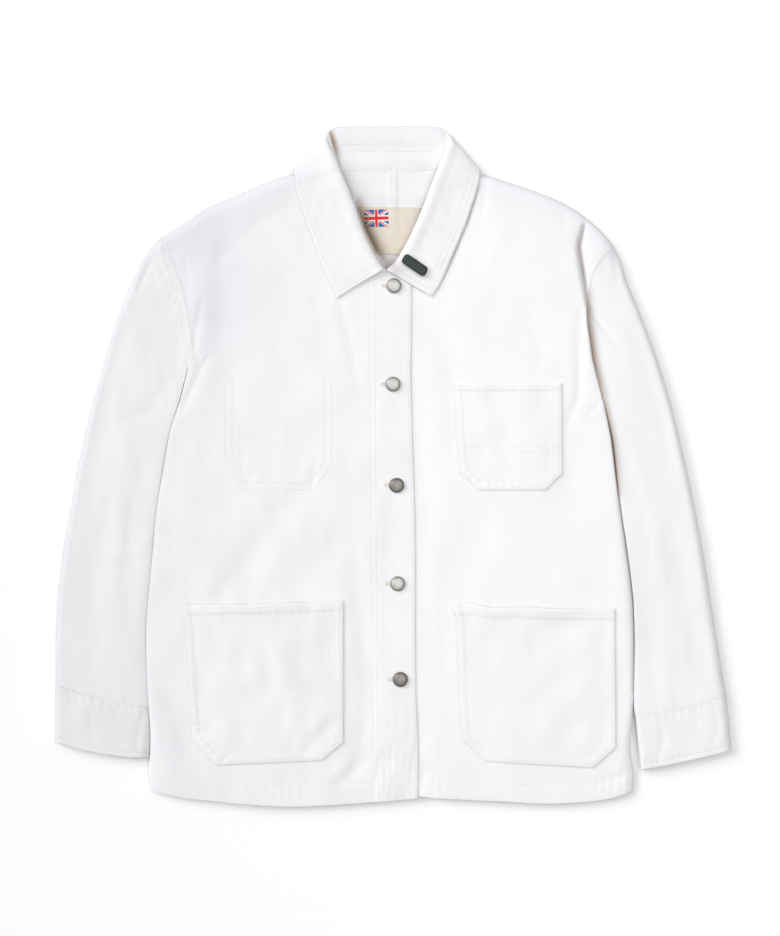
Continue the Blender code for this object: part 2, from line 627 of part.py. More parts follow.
class Surface:
    """Height of a panel's faceted outer face, found from straight above."""

    def __init__(self, grid):
        verts = [tuple(p) for p in grid.reshape(-1, 3)]
        rows, cols = grid.shape[:2]
        faces = [(i * cols + j, i * cols + j + 1, (i + 1) * cols + j + 1, (i + 1) * cols + j)
                 for i in range(rows - 1) for j in range(cols - 1)]
        self.tree = BVHTree.FromPolygons(verts, faces)

    def at(self, x, y):
        hit = self.tree.ray_cast((x, y, 100.0), (0, 0, -1))
        return None if hit[0] is None else hit[0].z

    def near(self, x, y):
        """Height here, or that of the closest edge, and how far off that is."""
        high = self.at(x, y)
        if high is not None:
            return high, 0.0
        spot = self.tree.find_nearest((x, y, 11.0))[0]
        return spot.z, math.hypot(spot.x - x, spot.y - y)

    def under(self, x, y, reach=10.0):
        """The lowest of the face at this point and close round it."""
        return min(self.near(x + reach * dx, y + reach * dy)[0]
                   for dx, dy in ((0, 0), (.5, 0), (-.5, 0), (0, .5), (0, -.5)))

    def over(self, x, y, reach=6.0):
        """The highest of the face at this point and close round it."""
        found = [self.at(x + reach * dx, y + reach * dy)
                 for dx, dy in ((0, 0), (.5, 0), (-.5, 0), (0, .5), (0, -.5))]
        found = [z for z in found if z is not None]
        return max(found) if found else None


faces = {name: Surface(grids[name]) for name in ("front_right", "front_left", "back")}


def on_fronts(x, y, reach=5.0):
    """The highest cloth under and close round this point."""
    found = []
    for dx, dy in ((0, 0), (1, 0), (-1, 0), (0, 1), (0, -1)):
        for name in ("front_right", "front_left"):
            high, off = faces[name].near(x + reach * dx, y + reach * dy)
            if off < 12:
                found.append(high)
    return max(found) if found else EDGE_Z + LIP


def collar():
    """Sections across the collar: neck edge, up to the roll, over it and down the fall to the outer edge."""
    rows = []
    for roll, neck, mid, edge, heights in COLLAR:
        roll, neck, mid, edge = (np.array(p, float) for p in (roll, neck, mid, edge))
        if heights == "on":
            lie = DOUBLE / 2 + LAYER_GAP
            z_neck = on_fronts(*neck) + lie
            z_roll = z_neck + 1.7
            z_mid = max(on_fronts(*mid), on_fronts(*(0.5 * mid + 0.5 * roll)) - 0.5) + lie + 0.5
            z_edge = on_fronts(*edge) + lie
            fold = 1
        else:
            z_roll, z_neck, z_mid, z_edge, fold = heights
        rows.append(np.r_[neck, z_neck, roll, z_roll, mid, z_mid, edge, z_edge, 8 * fold])
    table = along(np.array(rows), np.linspace(0, 1, COLLAR_ROWS))
    grid = []
    for row in table:
        neck, roll, mid, edge = row[0:3], row[3:6], row[6:9], row[9:12]
        to_neck = (neck[:2] - roll[:2]) / np.linalg.norm(neck[:2] - roll[:2])
        to_mid = (mid[:2] - roll[:2]) / np.linalg.norm(mid[:2] - roll[:2])
        up = float(np.clip(row[12] / 8, -1, 1))
        r = FOLD_RADIUS + 1.6 * (1 - abs(up))
        below = np.r_[roll[:2] + to_neck * r, roll[2] - up * FOLD_RADIUS]
        above = np.r_[roll[:2] + to_mid * r, roll[2] + up * FOLD_RADIUS]
        seam = neck + STAND_SHARE * (below - neck)
        grid.append([neck, 0.5 * (neck + seam), seam, below, roll, above, 0.5 * (above + mid), mid,
                     0.5 * (mid + edge), edge])
    return np.array(grid)


# the stand and the fall meet at the stand's seam, with one set of normals so that their rims stay apart
grids["whole_collar"] = collar()
middle = grids["whole_collar"]
normals = outward(middle, False)
apart = middle[:, 3] - middle[:, 2]
apart *= STAND_SEAM / 2 / np.linalg.norm(apart, axis=1, keepdims=True)
for name, first, last, shift in (("collar_stand", 0, 3, -apart), ("collar", 2, 10, apart)):
    sheet, lean = middle[:, first:last].copy(), normals[:, first:last]
    sheet[:, 2 - first] += shift
    grids[name] = sheet + lean * DOUBLE / 2
    wall(name, grids[name], lean, DOUBLE)


def patch(rows, across, panel, gap, steps):
    """A patch over a panel: the table's rows with `steps` more between each two."""
    table = np.array(rows, float)
    lines = []
    for k in range(len(table) - 1):
        for t in np.linspace(0, 1, steps[k] + 1)[:-1]:
            lines.append((1 - t) * table[k] + t * table[k + 1])
    lines.append(table[-1])
    grid = []
    for x0, y0, x1, y1 in lines:
        line = []
        for u in np.linspace(0, 1, across + 1):
            x, y = x0 + u * (x1 - x0), y0 + u * (y1 - y0)
            line.append((x, y, panel.over(x, y) + gap))
        grid.append(line)
    return np.array(grid)


for name, spec in POCKETS.items():
    panel = faces[f"front_{spec['on']}"]
    grids[name] = patch(spec["rows"], POCKET_ACROSS, panel, LAYER_GAP, [1, 4, 2, 2])
    cloth(name, grids[name], flip=True, side=1.0)

inner_grid = patch(INNER_POCKET, 8, faces["front_right"], 0, [1, 3, 1, 2])
for point in inner_grid.reshape(-1, 3):
    point[2] = faces["front_right"].under(*point[:2], 16) - CLOTH - LAYER_GAP - 0.2
cloth("pocket_inner", inner_grid, flip=True, side=-1.0)

label_grid = patch(LABEL, 4, faces["back"], CLOTH + 0.3, [2, 2])
cloth("label", label_grid, flip=True, side=1.0, thick=LABEL_THICK, slot="label_cloth")


def lathe(name, profile, at, slot, steps=16):
    """A round solid turned about a vertical axis from (radius, height) points."""
    mesh = bpy.data.meshes.new(name)
    bm = bmesh.new()
    verts = [bm.verts.new((r / 1000, 0, z / 1000)) for r, z in profile]
    for a, b in zip(verts, verts[1:]):
        bm.edges.new((a, b))
    bm.to_mesh(mesh)
    bm.free()
    obj = bpy.data.objects.new(name, mesh)
    jacket.objects.link(obj)
    turn = obj.modifiers.new("turn", "SCREW")
    turn.steps = turn.render_steps = steps
    turn.use_merge_vertices = True
    turn.merge_threshold = 1e-5
    turn.use_normal_calculate = True
    obj.location = place(*at)
    obj.data.materials.append(material(slot))
    return obj


front_right = bpy.data.objects["front_right"]
for number, (x, y) in enumerate(BUTTONS, 1):
    seat = max(faces["front_right"].over(x + dx, y + dy) for dx in (-7, 0, 7) for dy in (-7, 0, 7)) + 0.3
    foot = faces["front_left"].over(x, y) + 0.3 - seat
    profile = BUTTON_PROFILE + [(SHANK_RADIUS, foot), (0, foot)]
    lathe(f"button_{number}", profile, (x, y, seat), "button_metal")
    # the buttonhole it stands in
    hole = bpy.data.meshes.new(f"hole_{number}")
    bm = bmesh.new()
    outline = []
    for k in range(7):
        turn = -math.pi / 2 + math.pi * k / 6
        outline.append((HOLE_RIGHT - HOLE_HALF + HOLE_HALF * math.cos(turn), HOLE_HALF * math.sin(turn)))
    outline += [(-HOLE_LEFT + 4, 1.0), (-HOLE_LEFT, 0.6), (-HOLE_LEFT, -0.6), (-HOLE_LEFT + 4, -1.0)]
    base = [bm.verts.new((px / 1000, py / 1000, -0.006)) for px, py in outline]
    lid = [bm.verts.new((px / 1000, py / 1000, 0.006)) for px, py in outline]
    bm.faces.new(base[::-1])
    bm.faces.new(lid)
    for k in range(len(base)):
        n = (k + 1) % len(base)
        bm.faces.new((base[k], base[n], lid[n], lid[k]))
    bm.to_mesh(hole)
    bm.free()
    cutter = bpy.data.objects.new(f"hole_{number}", hole)
    cutter.location = place(x, y, seat - 1.0)
    cutter.display_type = "WIRE"
    cutter.hide_render = True
    cutters.objects.link(cutter)
    cut = front_right.modifiers.new(f"hole_{number}", "BOOLEAN")
    cut.operation = "DIFFERENCE"
    cut.solver = "EXACT"
    cut.object = cutter

# the pin lies on the left wing, tilted to the plane of the cloth under it
wing = middle[:, 5:] + normals[:, 5:] * np.sign(normals[-1, 7, 2]) * DOUBLE / 2
wing_face = Surface(wing)
turn = math.radians(PIN["turn"])
pin_x, pin_y = PIN["at"]
half, wide, corner = PIN["long"] / 2, PIN["wide"] / 2, PIN["corner"]
long_way = Vector((math.cos(turn), math.sin(turn), 0))
wide_way = Vector((-math.sin(turn), math.cos(turn), 0))
under = []
for a in np.linspace(-half, half, 9):
    for b in np.linspace(-wide, wide, 5):
        spot = long_way * float(a) + wide_way * float(b)
        under.append((a, b, 1.0, wing_face.near(pin_x + spot.x, pin_y + spot.y)[0]))
under = np.array(under)
slope_a, slope_b, base = np.linalg.lstsq(under[:, :3], under[:, 3], rcond=None)[0]
lift = (under[:, 3] - under[:, :3] @ (slope_a, slope_b, base)).max()
x_axis = (long_way + Vector((0, 0, slope_a))).normalized()
z_axis = x_axis.cross(wide_way + Vector((0, 0, slope_b))).normalized()
y_axis = z_axis.cross(x_axis)

outline = []
for sx, sy, first in ((1, -1, -90), (1, 1, 0), (-1, 1, 90), (-1, -1, 180)):
    for k in range(5):
        a = math.radians(first + 90 * k / 4)
        outline.append((sx * (half - corner) + corner * math.cos(a), sy * (wide - corner) + corner * math.sin(a)))
mesh = bpy.data.meshes.new("collar_pin")
bm = bmesh.new()
low = [bm.verts.new((px / 1000, py / 1000, 0)) for px, py in outline]
high = [bm.verts.new((px / 1000, py / 1000, PIN["thick"] / 1000)) for px, py in outline]
bm.faces.new(low[::-1])
bm.faces.new(high)
for k in range(len(low)):
    n = (k + 1) % len(low)
    bm.faces.new((low[k], low[n], high[n], high[k]))
bm.to_mesh(mesh)
bm.free()
pin = bpy.data.objects.new("collar_pin", mesh)
jacket.objects.link(pin)
pin.location = Vector(place(pin_x, pin_y, base)) + z_axis * (lift + SEAM_GAP) / 1000
pin.rotation_euler = Matrix((x_axis, y_axis, z_axis)).transposed().to_euler()
edge = pin.modifiers.new("edge", "BEVEL")
edge.width = 0.0006
edge.segments = 2
edge.limit_method = "ANGLE"
pin.data.materials.append(material("pin_enamel"))
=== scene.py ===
# A white cotton work jacket, buttoned and laid flat on its back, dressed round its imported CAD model.
# Every list is in millimetres on the table: x to the right, y from the hem to the collar, z up.
# Left and right in the names are the wearer's, so the right front is the one that laps on top.

import json
import math

import bpy
import numpy as np
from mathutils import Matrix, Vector
from mathutils.bvhtree import BVHTree

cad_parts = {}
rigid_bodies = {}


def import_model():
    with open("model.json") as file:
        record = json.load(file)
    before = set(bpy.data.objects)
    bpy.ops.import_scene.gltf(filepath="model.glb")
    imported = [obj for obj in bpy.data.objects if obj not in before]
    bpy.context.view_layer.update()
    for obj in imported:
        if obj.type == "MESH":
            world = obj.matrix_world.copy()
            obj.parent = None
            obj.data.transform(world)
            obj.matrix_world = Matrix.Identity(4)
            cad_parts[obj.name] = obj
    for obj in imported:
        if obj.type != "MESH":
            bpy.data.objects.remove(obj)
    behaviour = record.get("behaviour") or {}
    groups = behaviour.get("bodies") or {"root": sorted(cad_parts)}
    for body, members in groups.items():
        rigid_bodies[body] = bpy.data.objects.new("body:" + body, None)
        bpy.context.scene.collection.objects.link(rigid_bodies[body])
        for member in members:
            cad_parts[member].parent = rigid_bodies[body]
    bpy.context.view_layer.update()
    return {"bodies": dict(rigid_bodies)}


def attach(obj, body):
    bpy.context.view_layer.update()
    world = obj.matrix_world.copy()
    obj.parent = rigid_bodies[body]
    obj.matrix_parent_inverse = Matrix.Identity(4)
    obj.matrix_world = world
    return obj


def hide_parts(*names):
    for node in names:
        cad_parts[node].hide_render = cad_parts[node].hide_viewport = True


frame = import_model()
jacketBody = sorted(frame["bodies"])[0]

shape = {
    "middle": (-0.5, 376.5, 0.0),  # table point that the frame's origin stands for
    "cloth": 1.2,  # one layer of twill
    "doubled": 2.0,  # collar and cuffs
    "turnedHem": 0.8,  # what a hem adds to the thickness
    "layerGap": 0.5,
    "halfSeam": 0.04,
    "tableGap": 0.02,  # no point lies lower than this
    "edgeHeight": 4.2,  # of the side seams, shoulder seams and sleeve edges
    "underRoll": 8.0,
    "shoulderRoll": 13.0,
    "sleeveRoll": (8.0, 12.0),  # right, left
    "cell": 2.5,  # of the fronts
    "backCell": 5.0,
}
# the body's height over the table and what raises or lowers it
bodyHeight = {
    "middle": 12.2,
    "chest": 1.5,  # more on both sides of the placket
    "chestAt": 140,
    "chestWidth": 75,
    "hem": 3.6,
    "hemReach": 55,
    "throat": 1.4,
    "collarRise": 2.8,  # how far the collar lifts the back at the neck
    "sleeve": 13.6,
    "cuff": 13.4,
}

sideRight = {
    "sign": -1,
    "below": [(-268, 18), (-271, 42), (-268, 78), (-271, 141), (-272, 201), (-267, 262), (-260, 333),
              (-248, 405), (-235, 449), (-226, 484)],
    "armhole": [(-226, 484), (-230, 513), (-234, 539), (-239, 564), (-247, 588), (-254, 607), (-257, 627)],
    "seamShare": (0.93, 0.95),  # height of the armhole seam as a share of the full height, from and to
    "seamFrom": (0.0, 0.3),  # shares of the armhole between which that height changes
    # heights y, the share of the height that each edge keeps there and how far it rolls
    "bodyEdge": [(0, 0, 24), (52, 0, 24), (70, 0.45, 14), (112, 0.76, 12), (150, 0.90, 10), (440, 0.93, 9),
                 (484, 0.93, 9)],
    "sleeveEdge": [(50, 0.10, 16), (70, 0.36, 14), (90, 0.54, 14), (112, 0.66, 14), (150, 0.75, 16),
                   (200, 0.75, 16), (272, 0.80, 16), (330, 0.82, 16), (420, 0.86, 14), (484, 0.93, 9)],
    "gap": 0.04,  # between the side seam and the sleeve that lies against it
    "cuffGap": 0.15,  # the cuff's inner end follows the side seam this far off
    "cuffFrom": 0,  # how far up sleeveEdge the cuff is read
}
sideLeft = {
    "sign": 1,
    "below": [(263, 18), (264, 38), (260, 66), (263, 119), (264, 185), (262, 234), (255, 289), (246, 346),
              (239, 405), (230, 448)],
    "armhole": [(230, 448), (219, 493), (213, 537), (214, 564), (221, 590), (233, 607), (242, 618)],
    "seamShare": (0.72, 0.96),
    "seamFrom": (0.56, 0.78),
    "bodyEdge": [(0, 0, 24), (38, 0, 24), (60, 0.40, 12), (100, 0.60, 6), (150, 0.62, 7), (200, 0.48, 12),
                 (290, 0.5, 12), (350, 0.86, 4), (448, 0.88, 3)],
    "sleeveEdge": [(100, 0.60, 6), (150, 0.62, 6), (200, 0.84, 3), (290, 0.84, 4), (350, 0.25, 12),
                   (448, 0.10, 13)],
    "gap": 0.50,
    "cuffGap": None,
    "cuffFrom": 40,
}
shoulderRight = [(-257, 627), (-231, 643.5), (-205, 660.5), (-169, 676), (-136, 690), (-118, 696),
                 (-104, 698), (-90, 699), (-62, 700)]
shoulderLeft = [(47, 700), (82, 699), (105, 695), (128, 688), (155, 679), (183, 667.5), (205, 654.5),
                (227, 636), (242, 618)]
hemRight = [(-268, 18), (-231, 10), (-196, 6), (-161, 2), (-108, 0), (-55, 3), (-20, 6), (26, 10)]
hemLeft = [(-19, 12), (29, 12), (51, 10), (86, 8), (121, 6), (174, 3), (227, 7), (263, 18)]

# shares of the armhole's length at which a front's rows meet the points of its own edge below
armShares = [0, .02, .06, .14, .26, .40, .54, .68, .80, .90, .97, 1]
frontRight = {
    "centre": [(26, 10), (26, 75), (24, 119), (23, 185), (23, 273), (22, 339), (20, 405), (18, 480)],
    "neck": [(18, 480), (18.6, 506), (19, 532), (19, 558), (19, 584), (-8, 591), (-22, 606), (-36, 622),
             (-47, 645), (-55, 670), (-60, 690), (-62, 700)],
    # inner edge of the doubled strip
    "placketFold": [(-20, 8), (-21, 60), (-22, 200), (-23, 340), (-25, 584)],
    "hemDepth": 24.0,
}
frontLeft = {
    "centre": [(-19, 12), (-19, 75), (-20, 119), (-20, 185), (-20, 273), (-20, 339), (-19, 405), (-19, 462)],
    "neck": [(-19, 462), (-19, 494), (-19, 526), (-19, 558), (-19, 588), (-2, 595), (12, 608), (25, 624),
             (35, 643), (42, 665), (46, 688), (47, 700)],
    "hemDepth": 23.0,
}

# soft folds and creases: half width, depth (a ridge where it is negative) and the points they run through
bodyFolds = [
    (17, 2.2, [(-190, 612), (-186, 530), (-181, 455)]),
    (16, 2.1, [(-96, 352), (-140, 300), (-191, 235)]),
    (12, 1.7, [(-43, 290), (-36, 190), (-30, 110), (-44, 44)]),
    (20, 1.2, [(-60, 300), (-92, 258), (-130, 236)]),
    (1.6, 0.9, [(-21, 34), (-20.5, 4)]),
    (18, 1.0, [(-128, 560), (-118, 470)]),
    (24, -1.2, [(-128, 250), (-120, 130)]),
    (14, 1.6, [(40, 560), (54, 505), (66, 448)]),
    (20, 1.1, [(150, 560), (128, 500)]),
    (2.4, 7.0, [(209, 641), (203.5, 618), (206, 600), (210, 573), (213, 552)]),
    (7.0, 1.8, [(211, 640), (207, 617), (210, 598), (214, 572), (216, 556)]),
    (20, 1.6, [(188, 420), (205, 300)]),
    (19, 1.3, [(98, 330), (75, 250)]),
    (6, 0.9, [(-60, 562), (-48, 510), (-37, 446)]),
    (6, 0.8, [(-229, 604), (-226, 552)]),
    (3.6, 0.9, [(-211, 559), (-216, 530), (-221, 501)]),
    (3.4, 0.8, [(-242, 579), (-233, 545), (-228, 512), (-223, 501)]),
    (6.0, 1.0, [(206, 548), (203, 500), (206, 452)]),
    (5.0, 0.5, [(187, 654), (188, 634)]),
    (3.4, 0.7, [(102, 695), (99, 670), (97, 647)]),
    (10, 0.6, [(60, 640), (66, 600), (62, 560)]),
    (9, 0.5, [(-84, 560), (-80, 520), (-88, 482)]),
    (8, 0.5, [(150, 540), (160, 505), (156, 478)]),
    (12, 0.6, [(-206, 330), (-186, 300), (-150, 276)]),
    (9, -0.5, [(-236, 300), (-214, 268), (-196, 240)]),
    (8, 0.45, [(84, 300), (118, 262), (150, 240)]),
    (4.0, 1.1, [(-204, 496), (-213, 482), (-221, 463), (-232, 438)]),
    (9, -0.7, [(-196, 488), (-208, 462), (-222, 425)]),
    (11, 1.0, [(-246, 118), (-232, 76), (-214, 44)]),
    (7, 0.9, [(-28, 58), (-46, 36), (-66, 22)]),
    (6, -0.6, [(-40, 70), (-58, 44), (-76, 30)]),
    (3.0, 0.55, [(-152, 374), (-157, 364), (-161, 358)]),
    (3.2, 0.5, [(-165, 394), (-166, 362)]),
    (3.0, 0.6, [(-86, 384), (-90, 350)]),
    (3.0, 0.45, [(-177, 386), (-170, 372), (-160, 362)]),
    (4.0, -0.4, [(-96, 380), (-100, 356)]),
    (4.5, 0.9, [(203, 486), (201, 449), (190, 421)]),
    (4.0, 0.9, [(217, 504), (222, 474), (225, 449)]),
    (3.0, 0.6, [(226, 446), (212, 430)]),
    (5.0, 0.8, [(226, 30), (246, 34), (264, 44)]),
    (13, 0.7, [(20, 440), (34, 380), (44, 300)]),
    (10, 0.5, [(112, 356), (150, 330), (196, 322)]),
    (12, 0.6, [(232, 200), (226, 140), (236, 90)]),
    (14, -0.6, [(120, 640), (100, 590)]),
    (9, 0.7, [(-118, 660), (-160, 634), (-196, 596)]),
    (8, 0.5, [(120, 664), (164, 640), (192, 612)]),
]
sleeveFolds = [
    (3.4, 0.8, [(-262, 606), (-255, 594), (-247, 584)]),
    (3.6, 1.3, [(-258, 617), (-268, 601), (-274, 586), (-281, 570)]),
    (3.0, 0.8, [(-256, 628), (-257, 606)]),
    (12, 1.2, [(-300, 520), (-322, 420), (-334, 330)]),
    (15, 1.3, [(-318, 330), (-330, 240), (-332, 160)]),
    (9, -0.8, [(-292, 420), (-300, 340), (-306, 250)]),
    (10, 0.8, [(-276, 380), (-290, 300), (-292, 200)]),
    (8, 0.8, [(-248, 470), (-268, 440), (-296, 424)]),
    (7, -0.5, [(-262, 300), (-290, 280), (-326, 276)]),
    (3.0, 1.3, [(214, 640), (222, 632), (227, 617)]),
    (3.4, 1.4, [(230, 628), (240, 612), (246, 582)]),
    (3.0, 0.8, [(222, 612), (230, 600), (230, 586)]),
    (13, 1.3, [(268, 520), (296, 420), (318, 320)]),
    (14, 1.3, [(300, 320), (322, 230), (336, 150)]),
    (9, -0.8, [(256, 420), (280, 340), (296, 250)]),
    (8, 0.7, [(238, 440), (262, 420), (292, 414)]),
    (11, 0.8, [(274, 260), (282, 190), (280, 120)]),
]
cuffFolds = [
    (4.0, 0.9, [(-272, 108), (-279, 92), (-284, 62)]),
    (3.0, 0.5, [(-303, 112), (-306, 96)]),
    (3.5, 0.4, [(-330, 120), (-334, 96), (-330, 74)]),
    (4.0, 0.6, [(292, 98), (296, 76), (290, 54)]),
    (3.2, 0.5, [(330, 110), (334, 86)]),
    (3.0, 0.5, [(352, 118), (356, 90), (350, 68)]),
]

# seam and hem of each cuff, inner end and outer end, and how far they bow towards the hand
sleeveRight = {
    "outer": [(-257, 627), (-272, 610), (-283, 590), (-291.5, 570), (-304, 539), (-316, 500), (-330, 451),
              (-339, 414), (-347, 378), (-353.5, 343), (-360, 308), (-367.5, 256), (-372, 202),
              (-372.5, 136.5)],
    "cuffSeam": [(-272, 112), (-372.5, 136.5)],
    "cuffHem": [(-270.5, 55), (-373, 73)],
    "bow": (2.7, 4),
}
sleeveLeft = {
    "outer": [(242, 618), (250, 601), (258, 576), (274, 537), (290, 493), (304, 449), (315, 405), (325, 361),
              (334, 317), (342, 273), (349, 229), (356, 185), (363, 141), (366, 125)],
    "cuffSeam": [(265, 100), (366, 125)],
    "cuffHem": [(271, 42), (372, 64)],
    "bow": (1, 1),
}

# collar sections from the right front end round the back to the left front end: roll line, neck edge,
# middle of the fall and outer edge, then "on" where the fall lies on the fronts, or the four heights and
# how it folds, from 1 with the fall above the stand to -1 below it
collarShape = {
    "sections": [
        ((-12, 591), (-19, 588), (-38, 576), (-63, 560), "on"),
        ((-19, 602), (-26, 599), (-45, 588), (-69, 575), "on"),
        ((-27, 617), (-34, 614), (-54, 604), (-79, 596), "on"),
        ((-36, 637), (-43, 635), (-64, 628), (-88, 622), "on"),
        ((-44, 662), (-50, 661), (-73, 654), (-98, 649), "on"),
        ((-54, 688), (-61, 685), (-82, 679), (-105, 674), "on"),
        ((-58.5, 699), (-57, 691.5), (-85, 690), (-107.5, 683), (13.8, 9.6, 13.9, 13.1, 1)),
        ((-64, 712), (-56, 698), (-88, 700), (-109, 692), (13.4, 7.8, 14.0, 12.6, 1)),
        ((-74, 735), (-55, 702), (-92, 719), (-109, 703), (10.0, 7.0, 10.0, 7.5, .8)),
        ((-69, 745), (-53, 702), (-88, 722), (-99, 703), (5.6, 6.2, 3.4, 2.2, -.8)),
        ((-58, 749), (-46, 702), (-70, 716), (-80, 686), (4.2, 5.9, 1.2, 1.2, -1)),
        ((-34, 750), (-34, 701), (-40, 716), (-45, 682), (3.7, 5.8, 1.2, 1.2, -1)),
        ((-7, 750), (-8, 700), (-7, 716), (-7, 681), (3.7, 5.8, 1.2, 1.2, -1)),
        ((20, 750), (18, 700), (24, 716), (30, 682), (3.7, 5.8, 1.2, 1.2, -1)),
        ((44, 749), (32, 702), (56, 716), (66, 686), (4.2, 5.9, 1.2, 1.2, -1)),
        ((56, 745), (42, 703), (74, 721), (84, 703), (5.6, 6.0, 3.4, 2.2, -.8)),
        ((61, 734), (49, 703.5), (78, 718), (94, 702), (10.0, 6.4, 10.0, 7.5, .8)),
        ((52.5, 712), (52, 698), (75, 700), (94, 691), (13.4, 7.6, 14.0, 12.6, 1)),
        ((47.5, 699), (51.5, 691.5), (72, 690), (91.5, 681), (13.8, 9.4, 13.9, 13.1, 1)),
        ((43, 688), (50, 685), (68, 678), (88, 670), "on"),
        ((33, 661), (40, 659), (60, 652), (80, 645), "on"),
        ((22, 636), (29, 634), (48, 624), (68, 616), "on"),
        ((12, 616), (18, 612), (38, 602), (57, 591), "on"),
        ((2, 600), (9, 597), (29, 586), (49, 574), "on"),
        ((-8, 591), (0, 588), (19, 575), (41, 562), "on"),
    ],
    "standShare": 0.45,
    "standGap": 0.04,
    "lowest": 0.05,  # over the table, where the fall goes under the back
    "foldRadius": 1.55,
    "rows": 300,
    "steps": (4, 4, 5, 5, 5, 5, 6, 6, 7),  # cells between the lines of a section
    "stitchIn": (5.5, 11.0),
    "folds": [
        (3.0, 0.5, [(-58, 636), (-40, 634), (-26, 633)]),
        (3.0, 0.6, [(18, 631), (32, 627), (46, 624)]),
        (5.0, 0.4, [(-74, 664), (-84, 640)]),
        (4.0, 0.4, [(58, 660), (70, 640)]),
    ],
}

# rows of left x, y and right x, y from the top down; the depth of the top hem, how far the top edge gapes
# and where it dips: x, half width and depth
pocketRows = {
    "pocketLowerRight": {
        "on": "right", "hem": 10.5, "gape": 1.2,
        "rows": [(-235, 224, -56, 228), (-231, 200, -56, 205), (-226, 118, -56, 118), (-223, 77, -56, 73),
                 (-197, 48, -80, 53)],
        "dips": [(-150, 60, -1.2), (-60, 14, 0.8)],
        "folds": [(7, 0.9, [(-102, 58), (-84, 78), (-62, 98)]), (6, 0.6, [(-106, 96), (-112, 66)]),
                  (3, 0.7, [(-182, 58), (-191, 50)]), (16, 0.8, [(-110, 170), (-160, 120), (-200, 96)]),
                  (5, 0.5, [(-216, 92), (-204, 86), (-190, 80)]), (8, -0.5, [(-90, 86), (-70, 110)])],
    },
    "pocketLowerLeft": {
        "on": "left", "hem": 12.0, "gape": 2.6,
        "rows": [(63, 225, 242, 220), (68, 200, 242, 197), (70, 120, 243, 112), (73, 77, 243, 67),
                 (100, 52, 218, 45)],
        "dips": [(84, 10, 1.5), (112, 20, -3.2), (180, 40, -2.4)],
        "folds": [(6, 0.6, [(84, 70), (104, 62), (120, 52)]), (8, 0.8, [(214, 98), (232, 76)]),
                  (14, 0.6, [(110, 190), (160, 150), (200, 120)]), (7, 0.5, [(150, 200), (158, 160)])],
    },
    "pocketChest": {
        "on": "left", "hem": 8.5, "gape": 0.7,
        "rows": [(64, 468, 183, 468), (66, 440, 184, 440), (68, 400, 184, 400), (71, 369, 184, 368),
                 (92, 350, 166, 350)],
        "dips": [(124, 40, -0.8)],
        "folds": [(6, 0.5, [(84, 372), (98, 362), (112, 356)]), (7, 0.5, [(150, 380), (170, 362)]),
                  (9, 0.4, [(120, 440), (128, 410)])],
    },
}
# cell of the mesh, how far in the two stitch rows are, height and width of the turned edge
pocketWork = {"cell": 1.6, "rowsIn": (1.8, 9.2), "allowance": 0.45, "turned": 10.0}
innerPocket = {
    "rows": [(-184, 470, -70, 470), (-184, 440, -70, 440), (-184, 400, -71, 400), (-181, 379, -73, 379),
             (-164, 354, -88, 352)],
    "outerLine": [(-186, 471), (-186, 383), (-169, 351), (-88, 350), (-69, 379), (-69, 471)],
    "innerLine": [(-178, 471), (-178, 386), (-164, 359), (-92, 358), (-77, 383), (-77, 471)],
    "tacks": (-182, -73),
    "below": 1.1,
    "thick": 1.0,
}

buttonWork = {
    "places": [(0, 574), (-1, 466), (3, 355), (4, 247), (7, 142)],
    "profile": [(0.0, 4.05), (0.8, 4.02), (1.2, 4.10), (3.2, 3.94), (5.2, 3.52), (6.3, 3.12), (6.75, 2.78),
                (7.05, 2.82), (7.6, 2.46), (8.1, 1.75), (8.3, 1.0), (8.1, 0.4), (7.5, 0.1), (2.2, 0.1)],
    "shank": 2.0,
    "turns": 56,
    "holeFrom": -13.2,  # ends of the buttonhole, from the button's middle
    "holeTo": 2.5,
    "purl": 1.9,  # length of a buttonhole stitch
    "purlRadius": 0.30,
}
labelWork = {
    "rows": [(-40, 662, 29, 661), (-39, 636, 29, 634), (-38, 611, 29, 608)],
    "thick": 0.8,
    "flagAt": (-32.4, 639.5),  # lower left corner of the flag
    "flagSize": (26.5, 19.0),
    "flagTurn": 1.5,
    "flagCells": (73, 53),
    "flagThick": 0.24,
    "flagLift": 0.28,
}
pinWork = {"at": (22.5, 596.0), "long": 32.5, "wide": 13.2, "thick": 2.2, "corner": 5.4, "turn": -34.0,
           "rim": 0.75}
threadWork = {"length": 2.7, "pitch": 3.3, "radius": 0.24, "sink": 0.12, "sides": 6}

